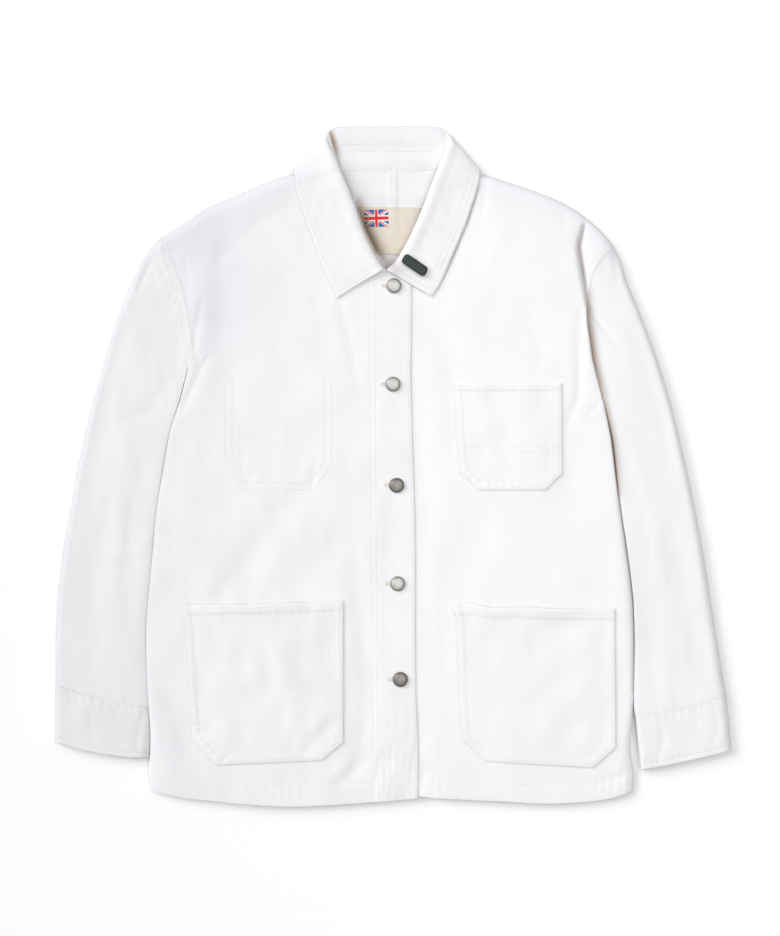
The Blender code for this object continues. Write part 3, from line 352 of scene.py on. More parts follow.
paintedShading = {
    # painted shade: half width, strength and line along which the cloth is painted greyer, as shade at
    # outlines, seams and slopes turned from the light
    "shaded": [
        (30, 0.40, shoulderRight[:-3]), (5, 0.25, shoulderRight[:-3]), (36, 0.27, shoulderLeft[2:]),
        (6, 0.20, shoulderLeft[2:]), (8.0, 0.50, sleeveRight["outer"]), (6.0, 0.5, sleeveLeft["outer"]),
        (5, 0.3, sideLeft["below"]), (3.0, 0.35, hemRight), (3.0, 0.35, hemLeft[2:]),
        (5.0, 0.5, [(-373, 73), (-372.5, 136.5)]), (5.0, 0.5, [(372, 64), (366, 125)]),
        (8, 0.32, [(-70, 746), (-34, 751), (20, 751), (58, 746)]),
    ],
    # the same painted shade for one piece only, such as the light falling off across the right front and
    # towards the right hand
    "paintedShadeOnly": {
        "frontRight": [(125, 0.18, [(-264, 10), (-264, 620)]), (20, 0.14, [(-244, 60), (-226, 30)]),
                       (42, 0.40, [(-220, 632), (-192, 592), (-186, 545)])],
        "sleeveRight": [(120, 0.20, [(-372, 120), (-272, 108)])],
    },
    # painted shadow for one piece only, laid out as below: the dark line the collar's edge casts on the left
    # front
    "paintedShadowOnly": {
        "frontLeft": [(2.2, 2.0, 0.50, [(94, 684), (88, 668), (80, 644), (68, 615), (57, 590), (48, 571)])],
    },
    # painted shadow, brown as shadow looks in this cloth: widths to the left and right of the line, strength
    # and line, along the armhole crease, the side crevices and under the collar's roll
    "brown": [
        (1.6, 2.6, 0.55, [(208, 640), (203.5, 618), (206.5, 598), (210.5, 573), (212, 558)]),
        (1.2, 6.0, 0.85, [(212, 566), (213, 537), (216, 515), (219, 493), (225, 470), (230, 448)]),
        (1.2, 5.0, 0.80, [(230, 452), (239, 405), (246, 346)]),
        (2.6, 1.0, 0.45, [(246, 346), (255, 289), (262, 234), (264, 185), (263, 130)]),
        (1.4, 4.4, 1.0, [(-71.5, 746), (-68, 734), (-63.5, 719)]),
        (0.7, 2.4, 0.50, [(-66, 728), (-60, 706)]),
        (0.7, 2.2, 0.40, [(-60, 706), (-53.9, 690.8), (-40.7, 663.3)]),
        (1.0, 8.0, 0.90, [(-42, 666), (-30.8, 635.8), (-19.8, 613.8), (-9, 598)]),
        (7.0, 7.0, 0.45, [(-10, 610), (-3, 601), (0, 590)]),
    ],
}


def toFrame(points):
    return (np.asarray(points, float) - shape["middle"]) / 1000


def smoothStep(value, low, high):
    t = np.clip((value - low) / (high - low), 0, 1)
    return t * t * (3 - 2 * t)


def roundOver(distance, reach):
    # a quarter round, from nothing at the edge to one at the reach
    t = np.clip(np.asarray(distance, float) / reach, 0, 1)
    return np.sqrt(1 - (1 - t) ** 2)


def runOf(points):
    # how far along a line each of its points is
    return np.r_[0, np.cumsum(np.linalg.norm(np.diff(points, axis=0), axis=1))]


def lengthOf(points):
    return np.linalg.norm(np.diff(np.asarray(points, float), axis=0), axis=1).sum()


def along(points, shares):
    # points at these shares of the length of a smooth curve through the list
    pts = np.array(points, float)
    ends = np.vstack([2 * pts[0] - pts[1], pts, 2 * pts[-1] - pts[-2]])
    t = np.linspace(0, 1, 24, endpoint=False)[:, None]
    fine = []
    for a, b, c, d in zip(ends, ends[1:], ends[2:], ends[3:]):
        fine.append(b + 0.5 * t * (c - a + t * (2 * a - 5 * b + 4 * c - d + t * (3 * (b - c) + d - a))))
    fine = np.vstack(fine + [pts[-1:]])
    run = runOf(fine)
    want = np.asarray(shares) * run[-1]
    return np.stack([np.interp(want, run, fine[:, k]) for k in range(fine.shape[1])], axis=1)


def readOff(points, known, value, count):
    # the other coordinate of a list of (x, y) where the known one, 0 or 1, has this value
    fine = along(points, np.linspace(0, 1, count))
    order = np.argsort(fine[:, known])
    return np.interp(value, fine[order, known], fine[order, 1 - known])


def over(points, x):
    return readOff(points, 0, x, 160)


def across(points, y):
    return readOff(points, 1, y, 80)


def toLine(x, y, points):
    # distance to a line of points, and how far along it as a share
    pts = np.array(points, float)
    best = np.full(np.shape(x), 1e9)
    share = np.zeros(np.shape(x))
    run = runOf(pts)
    for k in range(len(pts) - 1):
        a, d = pts[k], pts[k + 1] - pts[k]
        t = np.clip(((x - a[0]) * d[0] + (y - a[1]) * d[1]) / (d @ d), 0, 1)
        gap = np.hypot(x - a[0] - t * d[0], y - a[1] - t * d[1])
        nearer = gap < best
        best = np.where(nearer, gap, best)
        share = np.where(nearer, (run[k] + t * (run[k + 1] - run[k])) / run[-1], share)
    return best, share


def foldDepth(x, y, folds):
    # how far these folds lower the cloth
    total = np.zeros(np.shape(x))
    for half, depth, points in folds:
        line = along(points, np.linspace(0, 1, 3 * len(points)))
        gap, share = toLine(x, y, line)
        width = half * (0.75 + 0.35 * np.sin(math.pi * share))
        taper = np.sin(math.pi * np.clip(0.12 + 0.76 * share, 0, 1)) ** 0.7
        total += depth * taper * bell(gap, width)
    return total


def ripple(x, y, wave, seed, stretch=1.0):
    # smooth unevenness of about unit size; stretch lengthens it along y
    random = np.random.default_rng(seed)
    total = np.zeros(np.shape(x))
    for _ in range(10):
        turn = random.uniform(0, 2 * math.pi)
        rate = 2 * math.pi / (wave * random.uniform(0.7, 1.5))
        phase = random.uniform(0, 2 * math.pi)
        bend = 0.35 * wave * np.sin((x * 0.7 + y * 0.5) / wave + phase)
        total += np.sin(rate * ((x + bend) * math.cos(turn) + y / stretch * math.sin(turn)) + phase)
    return total / 2.3


def pucker(run, gap, wave, seed, reach=6.0):
    # little waves square to a seam, dying out away from it
    random = np.random.default_rng(seed)
    a, b, c = random.uniform(0, 6, 3)
    wander = 1.3 * np.sin(run / 23 + a) + 0.8 * np.sin(run / 11 + b)
    size = 0.55 + 0.45 * np.sin(run / 37 + c)
    return size * np.sin(2 * math.pi * run / wave + wander) * bell(gap, reach)


def bell(distance, width):
    return np.exp(-(distance / width) ** 2)


def swell(x, y):
    # the body's upper face, before the pieces that lie on it
    at, width = bodyHeight["chestAt"], bodyHeight["chestWidth"]
    high = bodyHeight["middle"] + bodyHeight["chest"] * bell(x + at, width)
    high += bodyHeight["chest"] * bell(x - at, width)
    high -= bodyHeight["hem"] * bell(y, bodyHeight["hemReach"])
    high -= bodyHeight["throat"] * smoothStep(y, 540, 620) * (1 - smoothStep(np.abs(x + 8), 90, 130))
    high -= foldDepth(x, y, bodyFolds)
    calm = 1 - 0.4 * smoothStep(x, 10, 70)
    return high + calm * (0.22 * ripple(x, y, 62, 3, 1.6) + 0.09 * ripple(x, y, 24, 4, 2.2))


def topRight(x, y):
    # the right front, with its placket a little proud and drawn up along its stitching
    fold = across(frontRight["placketFold"], y)
    strip = smoothStep(x - fold, -1.5, 1.5)
    lowEnd = 1 - smoothStep(y, 40, 150)
    work = 0.5 * strip - 0.38 * bell(x - fold - 3.2, 1.5)
    work += (0.11 + 0.16 * lowEnd) * pucker(y, x - fold - 12, 12, 5, 15) * strip
    work += 0.13 * pucker(y + 4, x - fold, 8, 6, 7)
    work += lowEnd * 0.22 * ripple(x * 2.6, y * 0.5, 17, 9) * strip
    work += 0.24 * bell(y, 30) * np.sin(x * 0.80 + 1.8 * np.sin(y / 14)) * strip
    return swell(x, y) + work


def topLeft(x, y):
    # the left front goes under the right one at the middle
    under = topRight(x, y) - shape["cloth"] - shape["layerGap"]
    share = smoothStep(x, 27, 50)
    return under * (1 - share) + swell(x, y) * share


def collarRise(x, y):
    return bodyHeight["collarRise"] * smoothStep(y, 655, 678) * (1 - smoothStep(np.abs(x + 7.5), 104, 132))


def armholeShare(share, side):
    low, high = side["seamShare"]
    return low + (high - low) * smoothStep(share, *side["seamFrom"])


def edgeShare(side, name, y, distance):
    # share of the height near an edge that stands against its neighbour, none at the edge itself
    table = np.array(side[name], float)
    keep, roll = (np.interp(y, table[:, 0], table[:, k]) for k in (1, 2))
    return np.where(distance > 0.01, keep + (1 - keep) * roundOver(distance, roll), 0)


def fineShares(keys, lengths, cell):
    # the keys with more between them, so that steps of these lengths come to about a cell
    out = [keys[0]]
    for a, b, length in zip(keys, keys[1:], lengths):
        out += list(np.linspace(a, b, max(1, round(length / cell)) + 1)[1:])
    return np.array(out)


def steps(start, end, cell):
    # distances from start to end, about a cell apart
    return list(np.linspace(start, end, max(2, round(abs(end - start) / cell) + 1)))


def outward(grid, closed=False, up=None):
    # the normals of a grid, turned so that the one at this row and column looks up
    down = np.gradient(grid, axis=0)
    ring = np.concatenate([grid[:, -1:], grid, grid[:, :1]], axis=1) if closed else grid
    sideways = np.gradient(ring, axis=1)
    sideways = sideways[:, 1:-1] if closed else sideways
    normals = np.cross(sideways, down)
    normals = normals / np.maximum(np.linalg.norm(normals, axis=2, keepdims=True), 1e-9)
    return normals if up is None or normals[up][2] > 0 else -normals


def link(name, data):
    made = bpy.data.objects.new(name, data)
    bpy.context.scene.collection.objects.link(made)
    return made


def addPiece(name, points, faceList, flatEnds=0):
    # an object of these points in table millimetres, smooth but for the last few faces
    mesh = bpy.data.meshes.new(name)
    mesh.from_pydata(toFrame(points).tolist(), [], faceList)
    mesh.polygons.foreach_set("use_smooth", [True] * (len(faceList) - flatEnds) + [False] * flatEnds)
    mesh.update()
    return link(name, mesh)


def meshPiece(name, points, faceList):
    # the same for a closed form, with its faces turned outwards and its folded edges sharp
    place, faceList = toFrame(points), np.asarray(faceList)
    a, b, c, d = (place[faceList[:, k]] for k in range(4))
    volume = np.einsum("ij,ij->i", a, np.cross(b, c)).sum()
    volume += np.einsum("ij,ij->i", a, np.cross(c, d)).sum()
    if volume < 0:
        faceList = faceList[:, ::-1]
    piece = addPiece(name, points, faceList.tolist())
    piece.data.set_sharp_from_angle(angle=math.radians(64))
    return piece


def wallFaces(rows, cols, closed):
    # the quads of a wall whose outer points come first: its outer face, its inner face, then its rims
    index = np.arange(rows * cols).reshape(rows, cols)
    if closed:
        index = np.concatenate([index, index[:, :1]], axis=1)
    n = rows * cols
    a, b, c, d = index[:-1, :-1], index[:-1, 1:], index[1:, 1:], index[1:, :-1]
    faces = [np.stack([a, b, c, d], -1), n + np.stack([d, c, b, a], -1)]
    first, last = index[0], index[-1]
    faces.append(np.stack([first[1:], first[:-1], n + first[:-1], n + first[1:]], -1))
    faces.append(np.stack([last[:-1], last[1:], n + last[1:], n + last[:-1]], -1))
    if not closed:
        first, last = index[:, 0], index[:, -1]
        faces.append(np.stack([first[:-1], first[1:], n + first[1:], n + first[:-1]], -1))
        faces.append(np.stack([last[1:], last[:-1], n + last[:-1], n + last[1:]], -1))
    return np.concatenate([f.reshape(-1, 4) for f in faces])


def addValues(piece, kind, values):
    piece.data.attributes.new(kind, "FLOAT", "POINT").data.foreach_set("value", values)


def paintedShadeAt(name, points):
    # how much shade is painted on the cloth here along outlines and seams, and how much brown shadow is
    # painted where creases hold shadow
    x, y = points[:, 0], points[:, 1]
    light = np.ones(len(points))
    for half, strength, line in paintedShading["shaded"] + paintedShading["paintedShadeOnly"].get(name, []):
        light *= 1 - strength * bell(toLine(x, y, line)[0], half)
    brown = np.zeros(len(points))
    for left, right, strength, line in paintedShading["brown"] + paintedShading["paintedShadowOnly"].get(name, []):
        gap, share = toLine(x, y, line)
        beyond = x > across(line, y)
        ends = np.sin(math.pi * (0.1 + 0.8 * share)) ** 0.5
        brown = np.maximum(brown, strength * ends * bell(gap, np.where(beyond, right, left)))
    return 1 - light, brown


def wallBetween(name, outer, inner, closed=False):
    # a closed wall with these faces and the rims between them
    points = np.concatenate([outer.reshape(-1, 3), inner.reshape(-1, 3)])
    points[:, 2] = np.maximum(points[:, 2], shape["tableGap"])
    piece = meshPiece(name, points, wallFaces(*outer.shape[:2], closed))
    # the painted shade and the painted shadow are stored on the points for the materials
    for kind, values in zip(("shaded", "brown"), paintedShadeAt(name, points)):
        addValues(piece, kind, values)
    return piece


def clothWall(name, outer, normals, thick, closed=False):
    # a closed wall of cloth: the outer face, the same face moved in, and its rims
    thick = np.broadcast_to(thick, outer.shape[:2])[..., None]
    return wallBetween(name, outer, outer - np.asarray(normals) * thick, closed)


class Face:
    # the outer face of a piece, to lay other pieces and thread on
    def __init__(self, grid):
        rows, cols = grid.shape[:2]
        quads = wallFaces(rows, cols, False)[:(rows - 1) * (cols - 1)]
        self.tree = BVHTree.FromPolygons(grid.reshape(-1, 3).tolist(), quads.tolist())

    def at(self, x, y):
        # height and normal here, or at the closest edge
        place, normal = self.tree.ray_cast((x, y, 100.0), (0, 0, -1))[:2]
        if place is None:
            place, normal = self.tree.find_nearest((x, y, 11.0))[:2]
        return place.z, normal if normal.z > 0 else -normal

    def near(self, x, y):
        # height here or at the closest edge, and how far off that edge is
        place = self.tree.ray_cast((x, y, 100.0), (0, 0, -1))[0]
        if place is not None:
            return place.z, 0.0
        place = self.tree.find_nearest((x, y, 11.0))[0]
        return place.z, math.hypot(place.x - x, place.y - y)


around = ((0, 0), (1, 0), (-1, 0), (0, 1), (0, -1))


def spread(face, x, y, reach):
    # mean height of a face over a few points round each place, so that creases carry through softly
    total = np.zeros(np.shape(x))
    for dx, dy in around:
        spots = zip((x + reach * dx).ravel(), (y + reach * dy).ravel())
        total += np.array([face.near(a, b)[0] for a, b in spots]).reshape(x.shape)
    return total / len(around)


def panelPlan(edge, inner, share, near, middle, far, hem, top, topPower):
    # x and y of a panel's grid: rows from one edge to the other, drawn to the hem and to the shoulder
    width = np.linalg.norm(inner - edge, axis=1)[:, None]
    first = np.array(near)[None, :] / width
    last = 1 - np.array(far)[None, :] / width
    between = np.linspace(0, 1, middle + 2)[1:-1] if isinstance(middle, int) else np.array(middle)
    between = first[:, -1:] + (last[:, :1] - first[:, -1:]) * between
    u = np.concatenate([first, between, last], axis=1)[..., None]
    plan = (1 - u) * edge[:, None] + u * inner[:, None]
    low = 1 - np.clip(plan[..., 1] / 190, 0, 1)
    for row, line, amount in ((0, hem, low ** 2), (-1, top, share[:, None] ** topPower)):
        chord = (1 - u) * edge[row] + u * inner[row]
        plan[..., 1] += (over(line, chord[..., 0]) - chord[..., 1]) * amount
    return plan


def edgeRows(side, ends, cell):
    # the side seam and armhole at fine rows, and each row's share of the armhole
    below = fineShares([0, 1], [lengthOf(side["below"])], cell)
    near = np.array([0.5, 1.2, 2.3]) / lengthOf(side["below"])
    below = np.r_[0, near, below[below > near[-1] + 0.003]]
    ends = np.array(ends, float)
    arm = fineShares(armShares, np.linalg.norm(np.diff(ends, axis=0), axis=1), cell)
    edge = np.vstack([along(side["below"], below), along(side["armhole"], arm[1:])])
    inner = np.stack([np.interp(arm[1:], armShares, ends[:, k]) for k in (0, 1)], axis=1)
    return below, arm, edge, inner


def freeEdge(gap, thick):
    # how far a folded edge rounds over, from its face and from its thickness
    bend = 1 - roundOver(gap, 1.1)
    return 0.35 * thick * bend, thick * (1 - 0.7 * bend)


grids, faces = {}, {}


def frontPanel(name, side, spec, hem, top, topOf, near, far):
    below, arm, edge, inner = edgeRows(side, spec["neck"], shape["cell"])
    onArm = len(below)
    edge[onArm:, 0] -= side["sign"] * shape["halfSeam"]
    inner = np.vstack([along(spec["centre"], below), inner])
    share = np.r_[np.zeros(onArm), arm[1:]]
    middle = round((286 - near[-1] - far[0]) / shape["cell"])
    plan = panelPlan(edge, inner, share, near, middle, far, hem, top, 2)
    x, y = plan[..., 0], plan[..., 1]
    fromSide = np.linalg.norm(plan - plan[:, :1], axis=2)
    fromTop = np.linalg.norm(plan - plan[-1:], axis=2)
    fromFront = np.linalg.norm(plan - plan[:, -1:], axis=2)
    fromHem = y - over(hem, x)
    seam = armholeShare(share, side)[:, None]
    onSeam = (np.arange(len(share)) >= onArm)[:, None]
    roll = side["bodyEdge"][-1][2] + 10 * smoothStep(share, *side["seamFrom"])[:, None]
    part = np.where(onSeam, seam + (1 - seam) * roundOver(fromSide, roll),
                    edgeShare(side, "bodyEdge", y, fromSide)) * roundOver(fromTop, shape["shoulderRoll"])
    base = shape["edgeHeight"] + shape["halfSeam"]
    high = base + (topOf(x, y) - base) * part
    # the turned hem and the doubled strip beside the armhole
    hemDepth = spec["hemDepth"]
    flat = smoothStep(part, 0.35, 0.8)
    high += 0.35 * (1 - smoothStep(fromHem, hemDepth - 1, hemDepth + 1.5)) * flat
    high -= 0.42 * bell(fromHem - hemDepth + 1.2, 1.5) * flat
    high += 0.20 * pucker(x, fromHem - hemDepth + 7, 9, 11 + side["sign"], 11) * flat
    onArmhole = smoothStep(share, 0.0, 0.02)[:, None]
    high += 0.35 * onArmhole * (1 - smoothStep(fromSide, 7, 10)) * smoothStep(fromSide, 0.5, 4.0)
    high += 0.16 * onArmhole * pucker(y, fromSide - 6, 9, 21, 6) * flat
    thick = shape["cloth"] + shape["turnedHem"] * (1 - smoothStep(fromHem, hemDepth - 2, hemDepth))
    drop, thick = freeEdge(np.minimum(fromHem, fromFront), thick)
    grid = np.dstack([x, y, high - drop])
    grids[name], faces[name] = grid, Face(grid)
    return clothWall(name, grid, outward(grid, up=(60, 60)), thick)


# distances from the side seam and from the centre edge at which a front's columns lie
near = [0, 0.03, 0.9, 1.9, 3.1, 4.5] + steps(6.0, 41, 1.5)
far = steps(47, 3.4, 2.3) + [2.1, 1.1, 0.45, 0]
pieces = {}
for name, *cut in (("frontRight", sideRight, frontRight, hemRight, shoulderRight, topRight),
                   ("frontLeft", sideLeft, frontLeft, hemLeft, shoulderLeft, topLeft)):
    pieces[name] = frontPanel(name, *cut, near, far)
print("fronts cut and laid")


def backPanel():
    # its outer face lies on the table and its inner face shows at the neck
    cell = shape["backCell"]
    top = shoulderRight[:-1] + [(-62, 704), (-20, 706), (8, 706), (47, 704)] + shoulderLeft[1:]
    hem = [(x, y + 2.0) for x, y in hemRight[:-1] + hemLeft[1:]]
    below = fineShares([0, 1], [lengthOf(sideRight["below"])], 7.5)
    edges = []
    for side in (sideRight, sideLeft):
        arm = fineShares(armShares, [26, 26, 26, 26, 28, 42, 42, 50, 52, 40, 20], cell)
        edge = np.vstack([along(side["below"], below), along(side["armhole"], arm[1:])])
        edge[len(below):, 0] -= side["sign"] * shape["halfSeam"]
        edges.append(edge)
    onArm = len(below)
    share = np.r_[np.zeros(onArm), arm[1:]]
    rim = [0, 0.8, 1.8, 3.2, 5.2, 8]
    shown = np.r_[np.linspace(0, 0.375, 28)[1:], np.linspace(0.375, 0.625, 56)[1:-1],
                  np.linspace(0.625, 1, 28)[:-1]]  # finer where the neck shows it
    plan = panelPlan(edges[0], edges[1], share, rim, shown, rim[::-1], hem, top, 1.5)
    x, y = plan[..., 0], plan[..., 1]
    rise = collarRise(x, y)
    neck = 1 - smoothStep(np.abs(x + 7.5), 50, 66)
    part = np.ones(x.shape)
    for side, rimLine in ((sideRight, plan[:, :1]), (sideLeft, plan[:, -1:])):
        length = lengthOf(along(side["armhole"], np.linspace(0, 1, 60)))
        seam = np.where(share > 0, roundOver(share * length, shape["underRoll"]), 0)[:, None]
        part *= seam + (1 - seam) * roundOver(np.linalg.norm(plan - rimLine, axis=2), shape["underRoll"])
    fromTop = np.linalg.norm(plan - plan[-1:], axis=2)
    part *= 1 - (1 - neck) * (1 - roundOver(fromTop, shape["underRoll"]))
    edgeTop = shape["edgeHeight"] - shape["halfSeam"]
    low = rise + (np.maximum(edgeTop, rise) - rise) * (1 - part)
    low += 0.75 * neck * (1 - smoothStep(fromTop, 4, 24))
    grid = np.dstack([x, y, low])
    normals = -outward(grid, up=(40, 40))
    fromHem = y - over(hem, x)
    seamFold = 0.75 * (1 - smoothStep(np.abs(x + 1.2), 3.8, 6.4))  # the felled seam down the middle
    thick = shape["cloth"] + seamFold + shape["turnedHem"] * (1 - smoothStep(fromHem, 22, 24.5))
    thick = thick + 0.10 * ripple(x, y, 30, 8)
    faces["backInside"] = Face(grid - normals * thick[..., None])
    return clothWall("backPanel", grid, normals, thick)


pieces["backPanel"] = backPanel()
print("back laid")


def tubeHeights(shares, width, high, side, y):
    # heights of the upper and the under side across a sleeve
    roll = shape["sleeveRoll"][0 if side["sign"] < 0 else 1]
    reach = np.minimum(shares, 1 - shares) * width
    part = edgeShare(side, "sleeveEdge", y, shares * width) * roundOver((1 - shares) * width, roll)
    under = shape["edgeHeight"] * (1 - roundOver(reach, shape["underRoll"]))
    return shape["edgeHeight"] + (high - shape["edgeHeight"]) * part, under


def tubePlan(a, b, shares, bow, more=0):
    # points across a sleeve from its inner edge a to its outer edge b, bowed towards the hand
    sideways = np.array([-(b - a)[1], (b - a)[0]]) / np.linalg.norm(b - a)
    plan = (1 - shares)[:, None] * a + shares[:, None] * b
    return plan + (sideways * (bow * 4 * shares * (1 - shares))[:, None] + more)


def tubeRing(plan, top, under):
    return np.vstack([np.column_stack([plan, top]), np.column_stack([plan, under])[-2:0:-1]])


def tubeWall(name, rows, thick):
    grid = grids[name] = np.array(rows)
    return clothWall(name, grid, outward(grid, True, (len(rows) // 2, 20)), thick, True)


def sleeveTube(name, side, spec, front):
    roundShares = np.r_[0, 0.0004, 0.009, 0.018, np.linspace(0.03, 0.97, 50), 0.984, 0.994, 1]
    fullLength = lengthOf(spec["outer"])
    rowShares = np.r_[0, 0.0015, 0.004, np.linspace(0.008, 0.992, round(fullLength / 2.6)), 0.996, 0.9985, 1]
    out = along(spec["outer"], rowShares)
    run = [p for p in side["below"][::-1] if p[1] >= spec["cuffSeam"][0][1]]
    if run[-1][1] > spec["cuffSeam"][0][1] + 2:
        run.append(spec["cuffSeam"][0])
    shifted = [(x + side["sign"] * side["gap"], y) for x, y in run]
    shifted[0] = (run[0][0] + side["sign"] * shape["halfSeam"], run[0][1])
    ins = along(shifted, rowShares)
    if side["cuffGap"]:
        ins[1:, 0] = across(side["below"], ins[1:, 1]) + side["sign"] * side["gap"]
    arm = along(side["armhole"], roundShares)
    edge = grids[front][:, 0]
    onArm = edge[:, 1] >= side["armhole"][0][1]
    seamTop = np.interp(arm[:, 1], edge[onArm, 1], edge[onArm, 2])
    seamTop[0] = seamTop[-1] = shape["edgeHeight"]
    chord = (1 - roundShares)[:, None] * arm[0] + roundShares[:, None] * arm[-1]
    rows = []
    for f, a, b in zip(rowShares, ins, out):
        width = np.linalg.norm(b - a)
        high = bodyHeight["sleeve"] - 0.5 * smoothStep(f, 0.5, 0.95) - 0.8 * math.exp(-(f / 0.05) ** 2)
        top, under = tubeHeights(roundShares, width, high, side, a[1])
        bow = -spec["bow"][0] * side["sign"] * float(smoothStep(f, 0.8, 1))
        keep = math.exp(-(f / 0.09) ** 2)  # how far the armhole still shapes this row
        plan = tubePlan(a, b, roundShares, bow, (arm - chord) * keep)
        if f == 0:
            plan = arm + np.array([side["sign"] * shape["halfSeam"], 0])
        fullness = np.clip((top - shape["edgeHeight"]) / (high - shape["edgeHeight"]), 0, 1)
        x, y = plan[:, 0], plan[:, 1]
        work = 0.18 * ripple(x, y, 48, 31, 2.4) + 0.07 * ripple(x, y, 20, 32, 2.5)
        work -= foldDepth(x, y, sleeveFolds)
        fromSeam, fromCuff = f * fullLength, (1 - f) * fullLength
        work += 0.30 * pucker(roundShares * width, fromSeam - 4, 15, 33, 9)
        work += 0.16 * pucker(roundShares * width, fromCuff - 2, 10, 34, 6)
        work -= 0.15 * math.exp(-(fromCuff / 2.2) ** 2)
        top = top + work * fullness
        top = top * (1 - keep) + (seamTop + work * fullness * (1 - math.exp(-(fromSeam / 6) ** 2))) * keep
        rows.append(tubeRing(plan, top, np.maximum(under, 0)))
    return tubeWall(name, rows, shape["cloth"])


def cuffTube(name, side, spec):
    roundShares = np.r_[0, 0.003, 0.016, np.linspace(0.03, 0.97, 56), 0.984, 0.994, 1]
    (a0, b0), (a1, b1) = np.array(spec["cuffSeam"], float), np.array(spec["cuffHem"], float)
    shift = np.array([side["sign"] * 0.5, 0])
    length = np.linalg.norm(a1 - a0)
    rows, thicks = [], []
    rim = np.array([0, 0.4, 1.0, 2.0])
    for down in np.r_[rim, np.linspace(3.4, length - 3.4, 32), (length - rim)[::-1]]:
        f = down / length
        a = a0 * (1 - f) + a1 * f + shift
        b = b0 * (1 - f) + b1 * f + shift * 0.3
        lowered = np.array([0, 0.05 * math.exp(-(down / 0.5) ** 2)])
        a, b = a - lowered, b - lowered
        if side["cuffGap"]:
            a[0] = across(side["below"], a[1]) + side["sign"] * side["cuffGap"]
        width = np.linalg.norm(b - a)
        high = bodyHeight["cuff"] - 1.4 * f
        top, under = tubeHeights(roundShares, width, high, side, a[1] + side["cuffFrom"])
        bow = -(spec["bow"][0] * (1 - f) + spec["bow"][1] * f) * side["sign"]
        plan = tubePlan(a, b, roundShares, bow)
        fullness = np.clip((top - shape["edgeHeight"]) / (high - shape["edgeHeight"]), 0, 1)
        x, y = plan[:, 0], plan[:, 1]
        fromInside = roundShares * width
        work = 0.18 * ripple(x, y, 34, 41) - foldDepth(x, y, cuffFolds)
        work += 0.22 * pucker(fromInside, down - 5, 9, 42 + side["sign"], 7)
        work += 0.22 * pucker(fromInside, length - down - 6, 8, 45 + side["sign"], 7)
        work -= 0.3 * math.exp(-((down - 2.6) / 1.4) ** 2)
        work -= 0.35 * math.exp(-((length - down - 5.5) / 1.5) ** 2)
        drop, thick = freeEdge(min(down + 0.7, length - down), shape["doubled"])
        top = top + work * fullness - drop * fullness
        rows.append(tubeRing(plan, top, np.maximum(under, 0) + 0.2 * drop))
        thicks.append(float(thick))
    return tubeWall(name, rows, np.array(thicks)[:, None])


for name, side, spec in (("Right", sideRight, sleeveRight), ("Left", sideLeft, sleeveLeft)):
    pieces[f"sleeve{name}"] = sleeveTube(f"sleeve{name}", side, spec, f"front{name}")
    pieces[f"cuff{name}"] = cuffTube(f"cuff{name}", side, spec)
print("sleeves and cuffs laid")


def onFronts(x, y, reach=5.0):
    # the highest point of the fronts round here
    found = []
    for dx, dy in around:
        for name in ("frontRight", "frontLeft"):
            high, off = faces[name].near(x + reach * dx, y + reach * dy)
            if off < 12:
                found.append(high)
    return max(found) if found else shape["edgeHeight"]


def throughColumns(lines, counts):
    # a smooth curve through each row's points, with these numbers of cells between them
    gap = np.linalg.norm(np.diff(lines, axis=1), axis=2, keepdims=True)
    slope = np.diff(lines, axis=1) / gap
    tangent = np.empty(lines.shape)
    tangent[:, 0], tangent[:, -1] = slope[:, 0], slope[:, -1]
    tangent[:, 1:-1] = (slope[:, :-1] * gap[:, 1:] + slope[:, 1:] * gap[:, :-1]) / (gap[:, :-1] + gap[:, 1:])
    out = []
    for k, count in enumerate(counts):
        a, b, g = lines[:, k], lines[:, k + 1], gap[:, k]
        ma, mb = tangent[:, k] * g, tangent[:, k + 1] * g
        for t in np.linspace(0, 1, count, endpoint=False):
            out.append((2 * t**3 - 3 * t**2 + 1) * a + (t**3 - 2 * t**2 + t) * ma
                       + (3 * t**2 - 2 * t**3) * b + (t**3 - t**2) * mb)
    out.append(lines[:, -1])
    return np.stack(out, axis=1)


def collarMiddle():
    # lines along the collar through the middle of its cloth
    rows = []
    for roll, neck, mid, edge, heights in collarShape["sections"]:
        roll, neck, mid, edge = (np.array(p, float) for p in (roll, neck, mid, edge))
        if heights == "on":
            lie = shape["doubled"] / 2 + shape["layerGap"]
            zNeck = onFronts(*neck) + lie
            zRoll = zNeck + 1.7
            zMid = max(onFronts(*mid), onFronts(*(0.5 * mid + 0.5 * roll)) - 0.5) + lie + 0.5
            zEdge = onFronts(*edge) + lie
            fold = 1
        else:
            zRoll, zNeck, zMid, zEdge, fold = heights
        rows.append(np.r_[neck, zNeck, roll, zRoll, mid, zMid, edge, zEdge, 8 * fold])
    shares = np.r_[0, 0.0008, 0.0018, 0.0034, np.linspace(0.0055, 0.9945, collarShape["rows"]),
                   0.9966, 0.9982, 0.9992, 1]
    table = along(np.array(rows), shares)
    lines = []
    for row in table:
        neck, roll, mid, edge = row[0:3], row[3:6], row[6:9], row[9:12]
        toNeck = (neck[:2] - roll[:2]) / np.linalg.norm(neck[:2] - roll[:2])
        toMid = (mid[:2] - roll[:2]) / np.linalg.norm(mid[:2] - roll[:2])
        up = float(np.clip(row[12] / 8, -1, 1))
        radius = collarShape["foldRadius"]
        wide = radius + 1.6 * (1 - abs(up))
        below = np.r_[roll[:2] + toNeck * wide, roll[2] - up * radius]
        above = np.r_[roll[:2] + toMid * wide, roll[2] + up * radius]
        seam = neck + collarShape["standShare"] * (below - neck)
        lines.append([neck, 0.5 * (neck + seam), seam, below, roll, above, 0.5 * (above + mid), mid,
                      0.5 * (mid + edge), edge])
    return np.array(lines)


